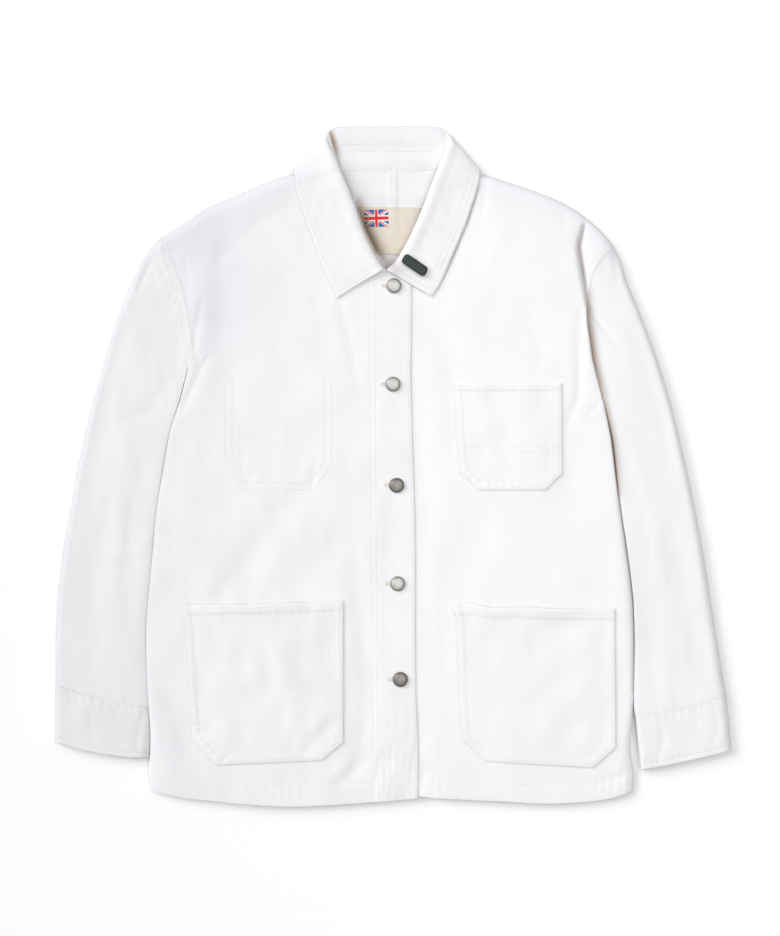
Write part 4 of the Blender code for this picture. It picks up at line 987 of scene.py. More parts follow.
collarLines = collarMiddle()
counts = collarShape["steps"]
middle = throughColumns(collarLines, counts)
seamColumn, rollColumn = sum(counts[:2]), sum(counts[:4])
rowRun = runOf(middle[:, -1])
fromEnd = np.minimum(rowRun, rowRun[-1] - rowRun)[:, None]
columnRun = np.cumsum(np.linalg.norm(np.diff(middle, axis=1), axis=2), axis=1)
columnRun = np.concatenate([np.zeros((len(middle), 1)), columnRun], axis=1)
fromOuter = columnRun[:, -1:] - columnRun
# the fall rests on the fronts wherever its own line would dip into them
lie = shape["doubled"] / 2 + 0.35
for i in range(len(middle)):
    for j in range(rollColumn + 3, middle.shape[1]):
        x, y, z = middle[i, j]
        if y < 697 and z > 6:
            highs = [faces[name].near(x, y) for name in ("frontRight", "frontLeft")]
            floor = max([high for high, off in highs if off < 2] or [0]) + lie
            middle[i, j, 2] = max(z, floor)
middleNormals = outward(middle, up=(2, -4))


def collarPart(name, first, last, shift):
    sheet = middle[:, first:last].copy()
    lean = middleNormals[:, first:last]
    sheet[:, seamColumn - first] += shift
    fall = name == "collarFall"
    fromRim = fromOuter[:, first:last]
    free = np.minimum(fromEnd, fromRim if fall else columnRun[:, first:last])
    bend = 1 - (roundOver(free, 1.3) if fall else smoothStep(free, -2, 13))
    thick = shape["doubled"] * (1 - (0.75 if fall else 0.85) * bend)
    x, y = sheet[..., 0], sheet[..., 1]
    work = 0.12 * ripple(x, y, 30, 51) + 0.05 * ripple(x, y, 13, 52)
    if fall:
        for inset in collarShape["stitchIn"]:
            work = work - 0.32 * bell(free - inset, 1.2)
        work = work + 0.13 * pucker(rowRun[:, None] + 0 * fromRim, fromRim - 8, 7.5, 53, 6)
        work = work - foldDepth(x, y, collarShape["folds"])
    work = work * smoothStep(free, 0.5, 4)
    face = thick / 2 if fall else thick - shape["doubled"] / 2
    outer = sheet + lean * face[..., None]
    outer[..., 2] += work * np.clip(lean[..., 2], 0, 1)
    inner = sheet - lean * (thick - face)[..., None]
    return tuple(np.dstack([part[..., :2], np.maximum(part[..., 2], collarShape["lowest"])])
                 for part in (outer, inner))


apart = middle[:, seamColumn + 1] - middle[:, seamColumn]
apart *= collarShape["standGap"] / 2 / np.linalg.norm(apart, axis=1, keepdims=True)
for name, first, last, shift in (("collarStand", 0, seamColumn + 1, -apart),
                                 ("collarFall", seamColumn, middle.shape[1], apart)):
    grids[name], inner = collarPart(name, first, last, shift)
    pieces[name] = wallBetween(name, grids[name], inner)
print("collar folded over")


def patchPlan(table, cell):
    # x and y of a patch's grid, from rows of left x, y and right x, y
    table = np.array(table, float)
    lines = []
    for a, b in zip(table, table[1:]):
        count = max(1, round(np.hypot(a[0] - b[0], a[1] - b[1]) / cell))
        lines += [a + (b - a) * t for t in np.linspace(0, 1, count, endpoint=False)]
    lines = np.array(lines + [table[-1]])
    wide = abs(table[0, 2] - table[0, 0])
    rim = np.array([0, 0.4, 1.0, 2.0]) / wide
    u = np.r_[rim, np.linspace(3.2 / wide, 1 - 3.2 / wide, round(wide / cell)), 1 - rim[::-1]]
    x = lines[:, :1] + u * (lines[:, 2:3] - lines[:, :1])
    y = lines[:, 1:2] + u * (lines[:, 3:4] - lines[:, 1:2])
    return np.dstack([x, y])


def outlineOf(table, drop=0.0):
    # the sewn outline from the top left corner down, round and up to the top right corner
    rows = [list(row) for row in table]
    rows[0][1] -= drop
    rows[0][3] -= drop
    return [(row[0], row[1]) for row in rows] + [(row[2], row[3]) for row in rows[::-1]]


def inset(points, gap):
    # a line moved in beside itself, with its corners mitred; the list runs left, bottom, right
    pts = np.array(points, float)
    way = np.diff(pts, axis=0)
    way /= np.linalg.norm(way, axis=1, keepdims=True)
    normal = np.stack([-way[:, 1], way[:, 0]], axis=1)
    out = [pts[0] + normal[0] * gap]
    for k in range(1, len(pts) - 1):
        bisect = normal[k - 1] + normal[k]
        bisect /= bisect @ bisect / 2
        out.append(pts[k] + bisect * gap)
    return out + [pts[-1] + normal[-1] * gap]


def patchPocket(name, spec):
    plan = patchPlan(spec["rows"], pocketWork["cell"])
    x, y = plan[..., 0], plan[..., 1]
    left, right, topEdge = x[:, :1], x[:, -1:], spec["rows"][0]
    slope = (topEdge[3] - topEdge[1]) / (topEdge[2] - topEdge[0])
    below = topEdge[1] + slope * (x - topEdge[0]) - y
    fade = 1 - smoothStep(below, 0, 26)
    for at, half, dip in spec["dips"]:
        y = y + dip * fade * bell(x - at, half)
    outline = outlineOf(spec["rows"])
    fromSewn, sewnShare = toLine(x, y, outline)
    panel = faces["front" + spec["on"].capitalize()]
    high = spread(panel, x, y, 2.5) + shape["layerGap"] + shape["cloth"]
    turned = pocketWork["turned"]
    high += pocketWork["allowance"] * (1 - smoothStep(fromSewn, turned - 1, turned + 1.5))
    fromFold = below - spec["hem"]
    high += 0.5 * (1 - smoothStep(fromFold, -0.5, 1.5)) * (0.5 + 0.5 * smoothStep(fromSewn, 9, 12))
    for gap in pocketWork["rowsIn"]:
        high -= 0.34 * bell(fromSewn - gap, 1.0) * smoothStep(below, 0, 3)
    high -= 0.34 * bell(fromFold, 1.1)
    run = sewnShare * lengthOf(outline)
    high += 0.17 * pucker(run, fromSewn - 7, 8.5, 61, 6) * smoothStep(fromSewn, 0.5, 3)
    high += 0.14 * pucker(x, fromFold, 9, 62, 6) * smoothStep(fromSewn, 2, 8)
    inside = smoothStep(fromSewn, 8, 40)
    high += inside * (0.5 + 0.30 * ripple(x, y, 40, 63 + len(name), 1.3))
    bow = np.sin(math.pi * np.clip((x - left) / (right - left), 0, 1)) ** 0.8
    high += spec["gape"] * bow * bell(below, 13)
    high -= foldDepth(x, y, spec["folds"])
    drop, thick = freeEdge(np.minimum(fromSewn, below), shape["cloth"] + 0.3)
    grid = np.dstack([x, y, high - drop])
    faces[name] = Face(grid)
    return clothWall(name, grid, outward(grid, up=(20, 20)), thick)


for name, spec in pocketRows.items():
    pieces[name] = patchPocket(name, spec)
bag = patchPlan(innerPocket["rows"], 3.0)
bagHeight = spread(faces["frontRight"], bag[..., 0], bag[..., 1], 4)
bagHeight = bagHeight - 2 * shape["cloth"] - innerPocket["below"]
pieces["pocketInner"] = clothWall("pocketInner", np.dstack([bag, bagHeight]), (0, 0, 1), innerPocket["thick"])
print("pockets set on")


def labelPatch():
    plan = patchPlan(labelWork["rows"], 1.5)
    x, y = plan[..., 0], plan[..., 1]
    high = spread(faces["backInside"], x, y, 2) + 0.3 + labelWork["thick"]
    high += 0.16 * ripple(x, y, 15, 71) + 0.25 * bell(x - 8, 5) * bell(y - 646, 3)
    high -= 0.3 * bell(y - 613.5 + 0.04 * x, 1.3) + 0.15 * bell(x - 26, 1.2)
    grid = np.dstack([x, y, high])
    faces["label"] = Face(grid)
    return clothWall("neckLabel", grid, (0, 0, 1), labelWork["thick"])


def flagPatch():
    # the union flag from its own 60 by 30 construction, woven square to the label
    wide, tall = labelWork["flagSize"]
    turn = math.radians(labelWork["flagTurn"])
    u, v = np.meshgrid(*(np.linspace(0, 1, count) for count in labelWork["flagCells"]))
    x = labelWork["flagAt"][0] + u * wide * math.cos(turn) - v * tall * math.sin(turn)
    y = labelWork["flagAt"][1] + u * wide * math.sin(turn) + v * tall * math.cos(turn)
    high = spread(faces["label"], x, y, 0.5) + labelWork["flagLift"]
    piece = clothWall("labelFlag", np.dstack([x, y, high]), (0, 0, 1), labelWork["flagThick"])
    a = ((u[:-1, :-1] + u[1:, 1:]) / 2 - 0.5) * 60
    b = ((v[:-1, :-1] + v[1:, 1:]) / 2 - 0.5) * 30
    colour = np.zeros(a.shape, int)  # 0 blue, 1 white, 2 red
    diagonalGap = np.minimum(np.abs(a - 2 * b), np.abs(a + 2 * b)) / math.sqrt(5)
    colour[diagonalGap < 3] = 1
    rising = np.abs(a - 2 * b) < np.abs(a + 2 * b)
    lean = np.where(rising, a - 2 * b, -(a + 2 * b)) / math.sqrt(5)
    lean = np.where(a > 0, -lean, lean) * np.where(rising, 1, -1)
    colour[(lean > 0) & (lean < 2)] = 2
    colour[(np.abs(a) < 5) | (np.abs(b) < 5)] = 1
    colour[(np.abs(a) < 3) | (np.abs(b) < 3)] = 2
    index = np.ones(len(piece.data.polygons), int)
    index[:colour.size] = colour.ravel()
    return piece, index


pieces["neckLabel"] = labelPatch()
pieces["labelFlag"], flagColours = flagPatch()
print("label and flag sewn in")


def threadMould():
    # one stitch along x: share of the length, share of the radius and how far it rises
    rings = [(-0.5, 0.4, -0.30), (-0.3, 0.96, 0.0), (0.3, 0.96, 0.0), (0.5, 0.4, -0.30)]
    sides = threadWork["sides"]
    turns = [2 * math.pi * k / sides for k in range(sides)]
    points = [(share, math.cos(turn) * radius, math.sin(turn) * radius, rise)
              for share, radius, rise in rings for turn in turns]
    quads = []
    for i in range(len(rings) - 1):
        for k in range(sides):
            a, b = i * sides + k, i * sides + (k + 1) % sides
            quads.append((a, b, b + sides, a + sides))
    last = (len(rings) - 1) * sides
    quads += [(3, 2, 1, 0), (5, 4, 3, 0), (last, last + 1, last + 2, last + 3),
              (last, last + 3, last + 4, last + 5)]
    return np.array(points), np.array(quads)


mouldPoints, mouldFaces = threadMould()
random = np.random.default_rng(17)
sewn = {}


def sewAlong(group, points, normals, pitch=threadWork["pitch"], length=threadWork["length"]):
    # stitches in a row along a line of points that lie on the cloth
    points, normals = np.asarray(points, float), np.asarray(normals, float)
    run = runOf(points)

    def read(source, where):
        return np.array([np.interp(where, run, source[:, k]) for k in range(3)])

    at = np.arange(pitch / 2, run[-1] - 0.3 * pitch, pitch)
    for where in at + random.uniform(-0.12, 0.12, len(at)):
        mid = read(points, where)
        if group == "threadCollar" and mid[2] < 2.4:  # where the collar goes under the neck
            continue
        way = read(points, where + length / 2) - read(points, where - length / 2)
        placeStitch(group, mid, way, read(normals, where), length * random.uniform(0.93, 1.05))


def placeStitch(group, mid, way, up, length, radius=threadWork["radius"]):
    # one stitch at this middle, laid this way, with the cloth's normal up
    way = way / max(np.linalg.norm(way), 1e-9)
    side = np.cross(up, way)
    side /= max(np.linalg.norm(side), 1e-9)
    up = np.cross(way, side)
    lifted = mouldPoints[:, 2] * radius + mouldPoints[:, 3] + radius - threadWork["sink"]
    made = mid + mouldPoints[:, :1] * length * way + mouldPoints[:, 1:2] * radius * side
    made = made + lifted[:, None] * up
    sewn.setdefault(group, []).append(made)


def sewOn(group, name, line, **more):
    # stitches along a line of (x, y) laid on a face
    line = np.array(line, float)
    run = runOf(line)
    want = np.linspace(0, run[-1], max(2, int(run[-1])))
    points, normals = [], []
    for x, y in zip(np.interp(want, run, line[:, 0]), np.interp(want, run, line[:, 1])):
        high, normal = faces[name].at(x, y)
        points.append((x, y, high))
        normals.append(tuple(normal))
    sewAlong(group, points, normals, **more)


def rowBeside(side, share, gap):
    # a line on a front beside the armhole
    line = along(side["armhole"], np.linspace(share, 0.99, 40))
    way = np.gradient(line, axis=0)
    way /= np.linalg.norm(way, axis=1, keepdims=True)
    return line + np.stack([-way[:, 1], way[:, 0]], axis=1) * gap * side["sign"]


# fronts: hem, placket and armholes, then the inner pocket's two rows with a tack at each top corner
shareX = np.linspace(0, 1, 50)
for name, hem, depth, xs in (("Right", hemRight, frontRight["hemDepth"], -262 + shareX * 285),
                             ("Left", hemLeft, frontLeft["hemDepth"], 29 + shareX * 228)):
    sewOn(f"threadFront{name}", f"front{name}", [(x, over(hem, x) + depth - 1.2) for x in xs])
placketEdge = along(frontRight["centre"] + frontRight["neck"][1:5], np.linspace(0, 1, 80))
sewOn("threadFrontRight", "frontRight", placketEdge - (3.0, 0))
for beside, lowest in ((3.2, 9), (-2.6, 34)):
    sewOn("threadFrontRight", "frontRight", [(across(frontRight["placketFold"], y) + beside, y)
                                             for y in np.linspace(lowest, 584, 80)])
for gap in (2.4, 7.6):
    sewOn("threadFrontRight", "frontRight", rowBeside(sideRight, 0.05, gap))
    sewOn("threadFrontLeft", "frontLeft", rowBeside(sideLeft, 0.45, gap))
for line in ("outerLine", "innerLine"):
    sewOn("threadInnerPocket", "frontRight", innerPocket[line])
for x in innerPocket["tacks"]:
    sewOn("threadInnerPocket", "frontRight", [(x - 4, 471), (x + 4, 471)], pitch=1.0, length=1.4)

# pockets
for name, spec in pocketRows.items():
    outline = outlineOf(spec["rows"], 1.0)
    for gap in pocketWork["rowsIn"]:
        sewOn("threadPockets", name, inset(outline, gap))
    top = spec["rows"][0]
    dip = [(x, top[1] + (top[3] - top[1]) * (x - top[0]) / (top[2] - top[0]) - spec["hem"]
            + sum(d * math.exp(-((x - at) / half) ** 2) * 0.6 for at, half, d in spec["dips"]))
           for x in np.linspace(top[0] + 2, top[2] - 2, 30)]
    sewOn("threadPockets", name, dip)
for y in (397, 391.5):
    sewOn("threadPockets", "pocketChest", [(69, y + 0.5), (183, y)])

# cuffs: a row near each edge, along the points of the upper face
for name in ("cuffRight", "cuffLeft"):
    normals = outward(grids[name], True, (20, 20))
    for row in (4, -7):
        sewAlong("threadCuffs", grids[name][row, 1:60], normals[row, 1:60])


# collar: two rows inside its edges, and two on the stand, then the neck seam and the seam down the back
def collarRow(inset):
    edgeRow = int(np.argmin(np.abs(rowRun - inset)))
    lastRow = int(np.argmin(np.abs(rowRun - (rowRun[-1] - inset))))
    columns = [int(np.argmin(np.abs(fromOuter[i] - inset))) for i in range(len(middle))]
    path = [(edgeRow, j) for j in range(rollColumn + 6, columns[edgeRow])]
    path += [(i, columns[i]) for i in range(edgeRow, lastRow + 1)]
    path += [(lastRow, j) for j in range(columns[lastRow] - 1, rollColumn + 5, -1)]
    return path


collarOuter = grids["collarFall"]
collarNormals = outward(collarOuter, up=(4, -6))
for gap in collarShape["stitchIn"]:
    path = collarRow(gap)
    line = np.array([collarOuter[i, j - seamColumn] for i, j in path])
    lean = np.array([collarNormals[i, j - seamColumn] for i, j in path])
    smooth = np.array([np.mean(line[max(0, k - 2):k + 3], axis=0) for k in range(len(line))])
    sewAlong("threadCollar", smooth, lean)
standOuter = grids["collarStand"]
standNormals = outward(standOuter, up=(150, 3))
backRows = slice(105, 205)
for grid, lean, column, part in ((collarOuter, collarNormals, 0, 0.15), (collarOuter, collarNormals, 1, 0.4),
                                 (standOuter, standNormals, 1, 0.2)):
    line = grid[backRows, column] * (1 - part) + grid[backRows, column + 1] * part
    sewAlong("threadCollar", line, lean[backRows, column] * np.sign(lean[150, column, 2]))
for x in (-4.3, 2.4):
    sewOn("threadLabel", "backInside", [(x, 700), (x, 664)])
labelRim = [(-38.6, 660.4), (27.6, 659.4), (27.8, 609.6), (-36.6, 612.4), (-38.6, 660.4)]
sewOn("threadLabel", "label", labelRim)


# buttonholes: purl stitches square to the slit, and a bar across its outer end
def purl(x, y, way, length):
    high, normal = faces["frontRight"].at(x, y)
    placeStitch("threadButtonholes", np.array([x, y, high]), np.array([*way, 0]), np.array(normal),
                length, buttonWork["purlRadius"])


for x, y in buttonWork["places"]:
    for side in (-1, 1):
        for px in np.arange(buttonWork["holeFrom"] + 1.2, buttonWork["holeTo"], 0.62):
            purl(x + px, y + side * 1.35, (0.12, side), buttonWork["purl"] * random.uniform(0.9, 1.1))
    for k in range(7):
        turn = math.pi * (0.5 + k / 6)
        way = math.cos(turn), math.sin(turn)
        px = buttonWork["holeFrom"] + 1.2 + 1.3 * way[0]
        purl(x + px, y + 1.3 * way[1], way, buttonWork["purl"])

for group, made in sewn.items():
    points = np.concatenate(made)
    offsets = np.arange(len(made))[:, None, None] * len(mouldPoints)
    pieces[group] = meshPiece(group, points, (mouldFaces[None] + offsets).reshape(-1, 4))
    print(f"{group}: {len(made)} stitches")


def lathe(name, profile, at, turns):
    # a round piece from (radius, height) points
    rim = profile[profile[:, 0] > 0.01]
    angle = 2 * math.pi * np.arange(turns) / turns
    rings = np.stack([np.outer(rim[:, 0], np.cos(angle)), np.outer(rim[:, 0], np.sin(angle)),
                      np.repeat(rim[:, 1:], turns, axis=1)], axis=-1)
    points = np.concatenate([rings.reshape(-1, 3), [(0, 0, profile[0, 1]), (0, 0, profile[-1, 1])]]) + at
    index = np.arange(len(rim) * turns).reshape(len(rim), turns)
    index = np.concatenate([index, index[:, :1]], axis=1)
    quads = np.stack([index[:-1, :-1], index[1:, :-1], index[1:, 1:], index[:-1, 1:]], -1).reshape(-1, 4)
    top, bottom = len(points) - 2, len(points) - 1
    caps = [(index[0, k], index[0, k + 1], top) for k in range(turns)]
    caps += [(index[-1, k + 1], index[-1, k], bottom) for k in range(turns)]
    piece = addPiece(name, points, quads.tolist() + caps)
    # how dark the metal is from the middle out: fine rings, and darker brown in the groove and at the rim
    out = np.r_[np.repeat(rim[:, 0], turns), 0, 0]
    dark = 0.10 * np.sin(out * 4.2) + 0.62 * bell(out - 7.35, 0.55) + 0.30 * bell(out - 6.5, 0.4)
    addValues(piece, "rings", np.clip(dark + 0.10, 0, 1))
    return piece


for number, (x, y) in enumerate(buttonWork["places"], 1):
    seat = max(faces["frontRight"].at(x + dx, y + dy)[0] for dx in (-7, 0, 7) for dy in (-7, 0, 7)) + 0.25
    foot = faces["frontLeft"].at(x, y)[0] + 0.3 - seat
    cap = along(buttonWork["profile"], np.linspace(0, 1, 40))
    profile = np.vstack([cap, [(buttonWork["shank"], foot), (0, foot)]])
    pieces[f"button{number}"] = lathe(f"button{number}", profile, (x, y, seat), buttonWork["turns"])


def pinPieces():
    # the pin lies on the left wing of the collar, tilted to the plane of the cloth under it
    wing = Face(grids["collarFall"])
    turn = math.radians(pinWork["turn"])
    half, wide, corner = pinWork["long"] / 2, pinWork["wide"] / 2, pinWork["corner"]
    longWay, wideWay = np.array([math.cos(turn), math.sin(turn)]), np.array([-math.sin(turn), math.cos(turn)])
    samples = []
    for a in np.linspace(-half, half, 9):
        for b in np.linspace(-wide, wide, 5):
            spot = np.array(pinWork["at"]) + longWay * a + wideWay * b
            samples.append((a, b, 1.0, wing.near(*spot)[0]))
    samples = np.array(samples)
    slopes = np.linalg.lstsq(samples[:, :3], samples[:, 3], rcond=None)[0]
    lift = (samples[:, 3] - samples[:, :3] @ slopes).max() + 0.3
    xAxis = np.r_[longWay, slopes[0]]
    xAxis /= np.linalg.norm(xAxis)
    zAxis = np.cross(xAxis, np.r_[wideWay, slopes[1]])
    zAxis /= np.linalg.norm(zAxis)
    yAxis = np.cross(zAxis, xAxis)
    origin = np.r_[pinWork["at"], slopes[2]] + zAxis * lift

    def rounded(grow, high, count=12):
        ring = []
        for sx, sy, first in ((1, -1, -90), (1, 1, 0), (-1, 1, 90), (-1, -1, 180)):
            for k in range(count + 1):
                a = math.radians(first + 90 * k / count)
                px = sx * (half - corner) + (corner + grow) * math.cos(a)
                py = sy * (wide - corner) + (corner + grow) * math.sin(a)
                ring.append(origin + xAxis * px + yAxis * py + zAxis * high)
        return ring

    def stack(name, levels):
        # a closed form from these outlines: how far each grows, and its height
        rings = [rounded(grow, high) for grow, high in levels]
        count = len(rings[0])
        quads = [(low + k, low + (k + 1) % count, low + count + (k + 1) % count, low + count + k)
                 for low in range(0, count * (len(rings) - 1), count) for k in range(count)]
        top = count * (len(rings) - 1)
        ends = [tuple(range(count))[::-1], tuple(range(top, top + count))]
        return addPiece(name, sum(rings, []), quads + ends, flatEnds=2)

    thick, rim = pinWork["thick"], pinWork["rim"]
    tray = stack("pinTray", [(-0.5, 0), (-0.1, 0.15), (0, 0.5), (0, thick - 0.5), (-0.12, thick - 0.15),
                             (-rim / 2, thick), (-rim + 0.1, thick - 0.12), (-rim, thick - 0.4)])
    enamel = stack("pinEnamel", [(-rim - 0.02, thick - 0.6), (-rim - 0.02, thick - 0.25),
                                 (-rim - 0.3, thick - 0.12), (-rim - 1.6, thick - 0.02),
                                 (-rim - 3.4, thick + 0.04)])
    return tray, enamel


pieces["pinTray"], pieces["pinEnamel"] = pinPieces()
print("buttons and pin on")


class Wire:
    # a shader socket that can be used in sums
    def __init__(self, tree, socket=None):
        self.tree, self.socket = tree, socket

    def node(self, kind, settings=None, sockets=None, out=0):
        made = self.tree.nodes.new(kind)
        for key, value in (settings or {}).items():
            if key == "stops":
                while len(made.color_ramp.elements) < len(value):
                    made.color_ramp.elements.new(1.0)
                for element, (place, colour) in zip(made.color_ramp.elements, value):
                    element.position, element.color = place, colour
            else:
                setattr(made, key, value)
        for key, value in (sockets or {}).items():
            if isinstance(value, Wire):
                self.tree.links.new(value.socket, made.inputs[key])
            else:
                made.inputs[key].default_value = value
        return Wire(self.tree, made.outputs[out])

    def combine(self, operation, *values):
        return self.node("ShaderNodeMath", {"operation": operation}, dict(enumerate(values)))

    def __add__(self, other):
        return self.combine("ADD", self, other)

    def __sub__(self, other):
        return self.combine("SUBTRACT", self, other)

    def __rsub__(self, other):
        return self.combine("SUBTRACT", other, self)

    def __radd__(self, other):
        return self.combine("ADD", other, self)

    def __mul__(self, other):
        return self.combine("MULTIPLY", self, other)

    def wave(self):
        return self.combine("SINE", self)

    def clamped(self):
        return self.node("ShaderNodeClamp", None, {"Value": self})

    def mixed(self, low, high):
        # between two colours, by this value
        return self.node("ShaderNodeMix", {"data_type": "RGBA"}, {0: self, 6: low, 7: high}, 2)


def finish(name, constants):
    material = bpy.data.materials.new(name)
    material.use_nodes = True
    shader = material.node_tree.nodes["Principled BSDF"]
    for key, value in constants.items():
        shader.inputs[key].default_value = value
    return material, Wire(material.node_tree), shader


def plug(tree, shader, **sockets):
    # a socket's name has _ for each space
    for key, value in sockets.items():
        tree.tree.links.new(value.socket, shader.inputs[key.replace("_", " ")])


def placeOn(tree, scale, turn=0.0):
    # object coordinates in millimetres, turned and scaled
    spot = tree.node("ShaderNodeTexCoord", None, None, 3)
    return tree.node("ShaderNodeMapping", None, {"Vector": spot, "Rotation": (0, 0, math.radians(turn)),
                                                "Scale": tuple(1000 * s for s in scale)})


def splitXY(tree, vector):
    parts = tree.node("ShaderNodeSeparateXYZ", None, {"Vector": vector})
    return parts, Wire(tree.tree, parts.socket.node.outputs[1])


def bumpFrom(tree, height, strength, distance=0.0002):
    return tree.node("ShaderNodeBump", None, {"Height": height, "Strength": strength, "Distance": distance})


def noiseAt(tree, vector, scale, detail=3.0, rough=0.5):
    return tree.node("ShaderNodeTexNoise", None,
                     {"Vector": vector, "Scale": scale, "Detail": detail, "Roughness": rough})


twillWork = {
    "white": (0.806, 0.806, 0.820, 1),
    "shade": (0.738, 0.738, 0.755, 1),
    # colours of the painted shade and of the brown painted shadow
    "shaded": (0.60, 0.605, 0.635, 1),
    "brown": (0.24, 0.165, 0.11, 1),
    "pitch": 0.85,  # between the twill's ridges
    "slant": 1.6,
    "weft": 0.7,
    "bump": 0.10,
    "roughness": 0.92,
}


def toneOf(tree, name):
    return tree.node("ShaderNodeAttribute", {"attribute_name": name}, None, 2)


def twill(name, turn, paintedLightLevel=1.0, warm=0.0, mottle=1.0):
    material, tree, shader = finish(name, {"Specular IOR Level": 0.18, "Sheen Weight": 0.06,
                                           "Sheen Roughness": 0.5})
    tint = 1, 1 - 0.004 * warm, 1 - 0.012 * warm
    # the whole colour is scaled down per panel, a painted shade for how much light reaches it
    white, shade = ([c * paintedLightLevel * w for c, w in zip(twillWork[key], tint)] + [1]
                    for key in ("white", "shade"))
    flat = placeOn(tree, (1, 1, 1), turn)
    slub = noiseAt(tree, placeOn(tree, (1.1, 0.07, 0.4), turn), 1.0, 4.0, 0.6)
    blotch = noiseAt(tree, placeOn(tree, (0.028, 0.02, 0.02), turn), 1.0, 3.0, 0.55)
    fleck = noiseAt(tree, flat, 0.9, 2.0, 0.6)
    x, y = splitXY(tree, flat)
    wander = (noiseAt(tree, flat, 0.35, 2.0) - 0.5) * 1.4
    ridge = ((x + y * twillWork["slant"]) * (2 * math.pi / twillWork["pitch"] / 1.9) + wander).wave()
    weft = (y * (2 * math.pi / twillWork["weft"]) + wander).wave()
    weave = ridge * 0.5 + weft * 0.16 + fleck * 0.6
    streak = noiseAt(tree, placeOn(tree, (0.30, 0.010, 0.2), turn), 1.0, 3.0, 0.6)
    tone = (slub * 0.55 + (blotch - 0.5) * (1.3 * mottle) + streak * 0.3 + fleck * 0.25 - 0.05).clamped()
    colour = tone.mixed(shade, white)
    # painted shade along outlines and seams, then brown painted shadow in creases and under the collar
    colour = toneOf(tree, "shaded").mixed(colour, twillWork["shaded"])
    colour = toneOf(tree, "brown").mixed(colour, twillWork["brown"])
    plug(tree, shader, Base_Color=colour, Roughness=twillWork["roughness"] - slub * 0.08,
         Normal=bumpFrom(tree, weave + slub * 1.4, twillWork["bump"], 0.0006))
    return material


def threadFinish(name, colour, dark):
    material, tree, shader = finish(name, {"Specular IOR Level": 0.35, "Sheen Weight": 0.1})
    flat = placeOn(tree, (1, 1, 1))
    tone = noiseAt(tree, flat, 0.45, 2.0)
    ply = noiseAt(tree, flat, 5.0, 1.0)
    plug(tree, shader, Base_Color=tone.mixed(dark, colour), Roughness=0.6 + ply * 0.25,
         Normal=bumpFrom(tree, ply, 0.3))
    return material


def metalFinish(name, colour, dark, rough, metallic=1.0):
    material, tree, shader = finish(name, {"Metallic": metallic})
    flat = placeOn(tree, (1, 1, 1))
    tone = noiseAt(tree, flat, 0.35, 3.0, 0.6)
    grain = noiseAt(tree, placeOn(tree, (1.0, 5.0, 1.0), 12), 1.6, 3.0, 0.65)
    base = (tone * 0.6 + grain * 0.5 - 0.05).clamped().mixed(dark, colour)
    plug(tree, shader, Base_Color=toneOf(tree, "rings").mixed(base, (0.10, 0.085, 0.07, 1)),
         Roughness=rough + grain * 0.22, Normal=bumpFrom(tree, grain, 0.18))
    return material


def enamelFinish():
    material, tree, shader = finish("pinEnamelGreen", {"Coat Roughness": 0.12, "Coat Weight": 0.06,
                                                       "Specular IOR Level": 0.2})
    flat = placeOn(tree, (1, 1, 1))
    tone, grain = noiseAt(tree, flat, 0.25, 2.0), noiseAt(tree, flat, 3.0, 2.0)
    plug(tree, shader, Base_Color=tone.mixed((0.003, 0.011, 0.009, 1), (0.008, 0.026, 0.021, 1)),
         Roughness=0.22 + grain * 0.12)
    return material


def wovenFinish(name, colour, dark):
    material, tree, shader = finish(name, {"Specular IOR Level": 0.2, "Sheen Weight": 0.05})
    flat = placeOn(tree, (1, 1, 1), 1.5)
    x, y = splitXY(tree, flat)
    grid = (x * 12.0).wave() * 0.5 + (y * 16.0).wave() * 0.5
    soft = noiseAt(tree, placeOn(tree, (0.12, 0.5, 1)), 1.0, 3.0)
    tone = (soft * 0.9 + grid * 0.10 + 0.05).clamped()
    # brown painted shadow where the collar wing shades the label and flag
    colour = toneOf(tree, "brown").mixed(tone.mixed(dark, colour), (0.12, 0.07, 0.04, 1))
    plug(tree, shader, Base_Color=colour, Roughness=0.7 + soft * 0.15,
         Normal=bumpFrom(tree, grid, 0.25))
    return material


# each piece's cut of cloth: how its grain is turned, how white (lowered per panel as painted shade where less
# light falls), how warm and how mottled it is
cloths = {
    "frontRight": (0, 0.972, 0, 1.3), "frontLeft": (0, 0.985, 0, 0.6), "backPanel": (0, 0.955, 0.5, 0.8),
    "sleeveRight": (12, 0.93, 0, 0.7), "cuffRight": (12, 0.888, 0, 1.2), "sleeveLeft": (-14, 0.94, 0, 0.6),
    "cuffLeft": (-14, 0.943, 0, 1.2), "collarFall": (62, 0.965, 0, 0.9), "collarStand": (90, 0.965, 0.5, 0.8),
    "pocketLowerRight": (1, 0.96, 0, 1.2), "pocketLowerLeft": (-1, 0.975, 0, 0.7),
    "pocketChest": (0, 0.985, 0.6, 0.4), "pocketInner": (0, 0.9, 0, 1),
}
thread = threadFinish("threadEcru", (0.745, 0.733, 0.71, 1), (0.655, 0.642, 0.615, 1))
threadBright = threadFinish("threadPurl", (0.76, 0.72, 0.655, 1), (0.62, 0.57, 0.495, 1))
nickel = metalFinish("buttonNickel", (0.68, 0.665, 0.64, 1), (0.36, 0.35, 0.335, 1), 0.36, 0.45)
nickelDark = metalFinish("buttonNickelDark", (0.34, 0.32, 0.30, 1), (0.12, 0.11, 0.10, 1), 0.32, 0.5)
silver = metalFinish("pinSilver", (0.80, 0.79, 0.77, 1), (0.55, 0.54, 0.52, 1), 0.2)
labelCloth = wovenFinish("labelCream", (0.745, 0.68, 0.59, 1), (0.60, 0.53, 0.44, 1))
flagCloths = [wovenFinish("flagBlue", (0.06, 0.14, 0.42, 1), (0.03, 0.08, 0.30, 1)),
              wovenFinish("flagWhite", (0.82, 0.80, 0.78, 1), (0.70, 0.67, 0.63, 1)),
              wovenFinish("flagRed", (0.72, 0.05, 0.06, 1), (0.55, 0.03, 0.04, 1))]

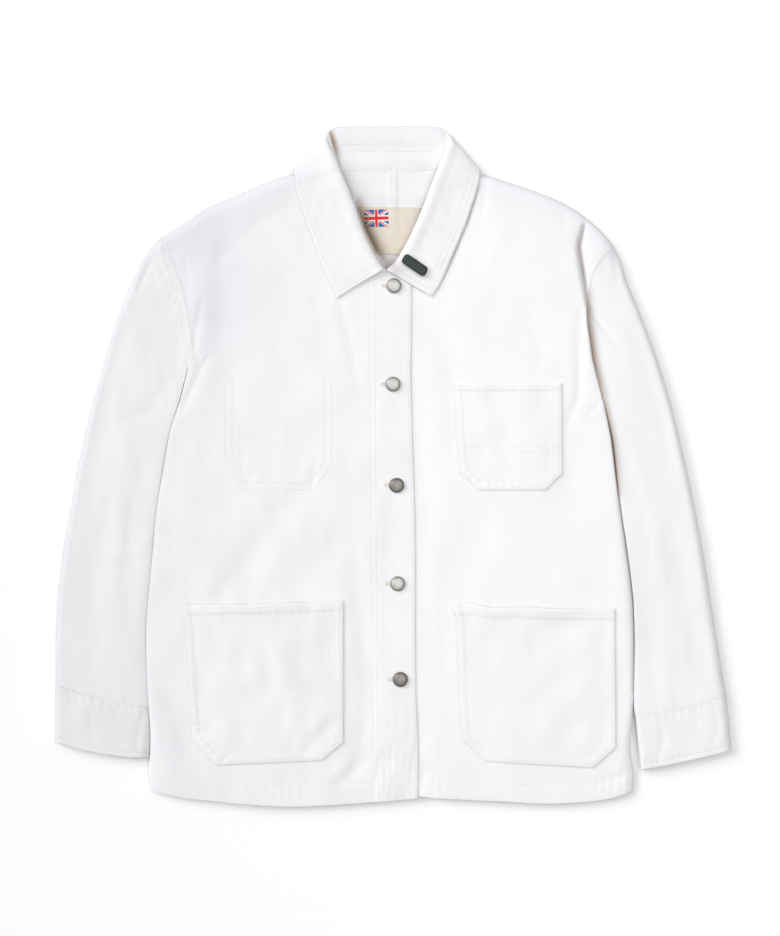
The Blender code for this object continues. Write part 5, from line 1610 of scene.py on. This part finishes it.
looks = {"button3": nickelDark, "button5": nickelDark, "pinTray": silver, "pinEnamel": enamelFinish(),
         "neckLabel": labelCloth, "threadButtonholes": threadBright}
for name, piece in pieces.items():
    if name == "labelFlag":
        for look in flagCloths:
            piece.data.materials.append(look)
        piece.data.polygons.foreach_set("material_index", flagColours)
    elif name in cloths:
        piece.data.materials.append(twill("twill" + name[0].upper() + name[1:], *cloths[name]))
    else:
        piece.data.materials.append(looks.get(name, nickel if name.startswith("button") else thread))
print("finishes on")


studio = {
    "reach": 2.4,  # metres from the camera to the table
    "across": 1.0296,  # metres of table along the picture's long side
    "centre": (-4.4, 374.0),  # table point at the picture's middle
    "floor": (0.842, 0.842, 0.842, 1),
    "world": 0.24,
    "sky": (0.985, 0.987, 1.0, 1),
    "suns": {  # towards each light, its strength and its size in degrees
        "overhead": ((0.10, -0.05, 1.0), 1.38, 50.0),
        "key": ((-0.74, 0.36, 0.52), 2.32, 40.0),
    },
    "fillAt": (0.60, 0.40, 1.25),
    "fill": 5.0,
    "fillSize": 1.4,
    "sensor": 36,
    "tableHalf": 30,  # metres
}


def makeFloor():
    half = studio["tableHalf"]
    mesh = bpy.data.meshes.new("tabletop")
    corners = [(-half, -half, 0), (half, -half, 0), (half, half, 0), (-half, half, 0)]
    mesh.from_pydata(corners, [], [(0, 1, 2, 3)])
    mesh.materials.append(finish("tabletopWhite", {"Base Color": studio["floor"], "Roughness": 0.9,
                                                   "Specular IOR Level": 0.1})[0])
    link("tabletop", mesh)


def makeLight(name, kind, towards, strength):
    lamp = bpy.data.lights.new(name, kind)
    lamp.energy = strength
    link(name, lamp).rotation_euler = (-Vector(towards)).to_track_quat("-Z", "Y").to_euler()
    return lamp


def makeLights():
    world = bpy.data.worlds.new("studio")
    world.use_nodes = True
    background = world.node_tree.nodes["Background"].inputs
    background["Color"].default_value = studio["sky"]
    background["Strength"].default_value = studio["world"]
    bpy.context.scene.world = world
    for name, (towards, strength, size) in studio["suns"].items():
        makeLight(name, "SUN", towards, strength).angle = math.radians(size)
    makeLight("fill", "AREA", studio["fillAt"], studio["fill"]).size = studio["fillSize"]
    bpy.data.objects["fill"].location = studio["fillAt"]


def makeCamera():
    camera = bpy.data.cameras.new("camera")
    camera.sensor_width = studio["sensor"]
    camera.lens = studio["sensor"] * studio["reach"] / studio["across"]
    holder = link("camera", camera)
    x, y, _ = toFrame((*studio["centre"], 0))
    holder.location = (x, y, studio["reach"] + 0.008)
    bpy.context.scene.camera = holder


makeFloor()
makeLights()
makeCamera()
bpy.context.scene.view_settings.view_transform = "Standard"
print("table, lights and camera set")


stands = {"pinTray": "collar_pin", **{f"button{number}": f"button_{number}" for number in range(1, 6)}}
sheets = {
    # name: solid, cut width and length, cut area, what it lies on, pieces on it
    "backPanel": ("back", (0.545, 0.735), 0.345, ["tabletop"], []),
    "frontRight": ("front_right", (0.335, 0.735), 0.190, ["backPanel"],
                   ["threadFrontRight", "threadInnerPocket", "threadButtonholes"]),
    "frontLeft": ("front_left", (0.325, 0.735), 0.183, ["backPanel"], ["threadFrontLeft"]),
    "sleeveRight": ("sleeve_right", (0.29, 0.55), 0.090, ["tabletop"], []),
    "sleeveLeft": ("sleeve_left", (0.29, 0.56), 0.085, ["tabletop"], []),
    "cuffRight": ("cuff_right", (0.215, 0.057), None, ["tabletop"], ["threadCuffs"]),
    "cuffLeft": ("cuff_left", (0.215, 0.059), None, ["tabletop"], []),
    "collarFall": ("collar", (0.56, 0.075), 0.036, ["frontRight", "frontLeft"], ["threadCollar"]),
    "collarStand": ("collar_stand", (0.40, 0.023), 0.0040, ["backPanel"], []),
    "pocketLowerRight": ("pocket_lower_right", (0.18, 0.178), 0.0310, ["frontRight"], ["threadPockets"]),
    "pocketLowerLeft": ("pocket_lower_left", (0.18, 0.178), 0.0310, ["frontLeft"], []),
    "pocketChest": ("pocket_chest", (0.12, 0.119), 0.0140, ["frontLeft"], []),
    "pocketInner": ("pocket_inner", (0.114, 0.118), 0.0131, ["frontRight"], []),
    "neckLabel": ("label", (0.069, 0.053), None, ["backPanel"], ["threadLabel", "labelFlag"]),
}
for name, piece in pieces.items():
    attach(piece, jacketBody)
    if name in stands or name in sheets:
        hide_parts(stands[name] if name in stands else sheets[name][0])
for name, (solid, flat, area, restsOn, withPieces) in sheets.items():
    "folded" if name == "collarFall" else "laid"
print("pieces fitted to the solids")
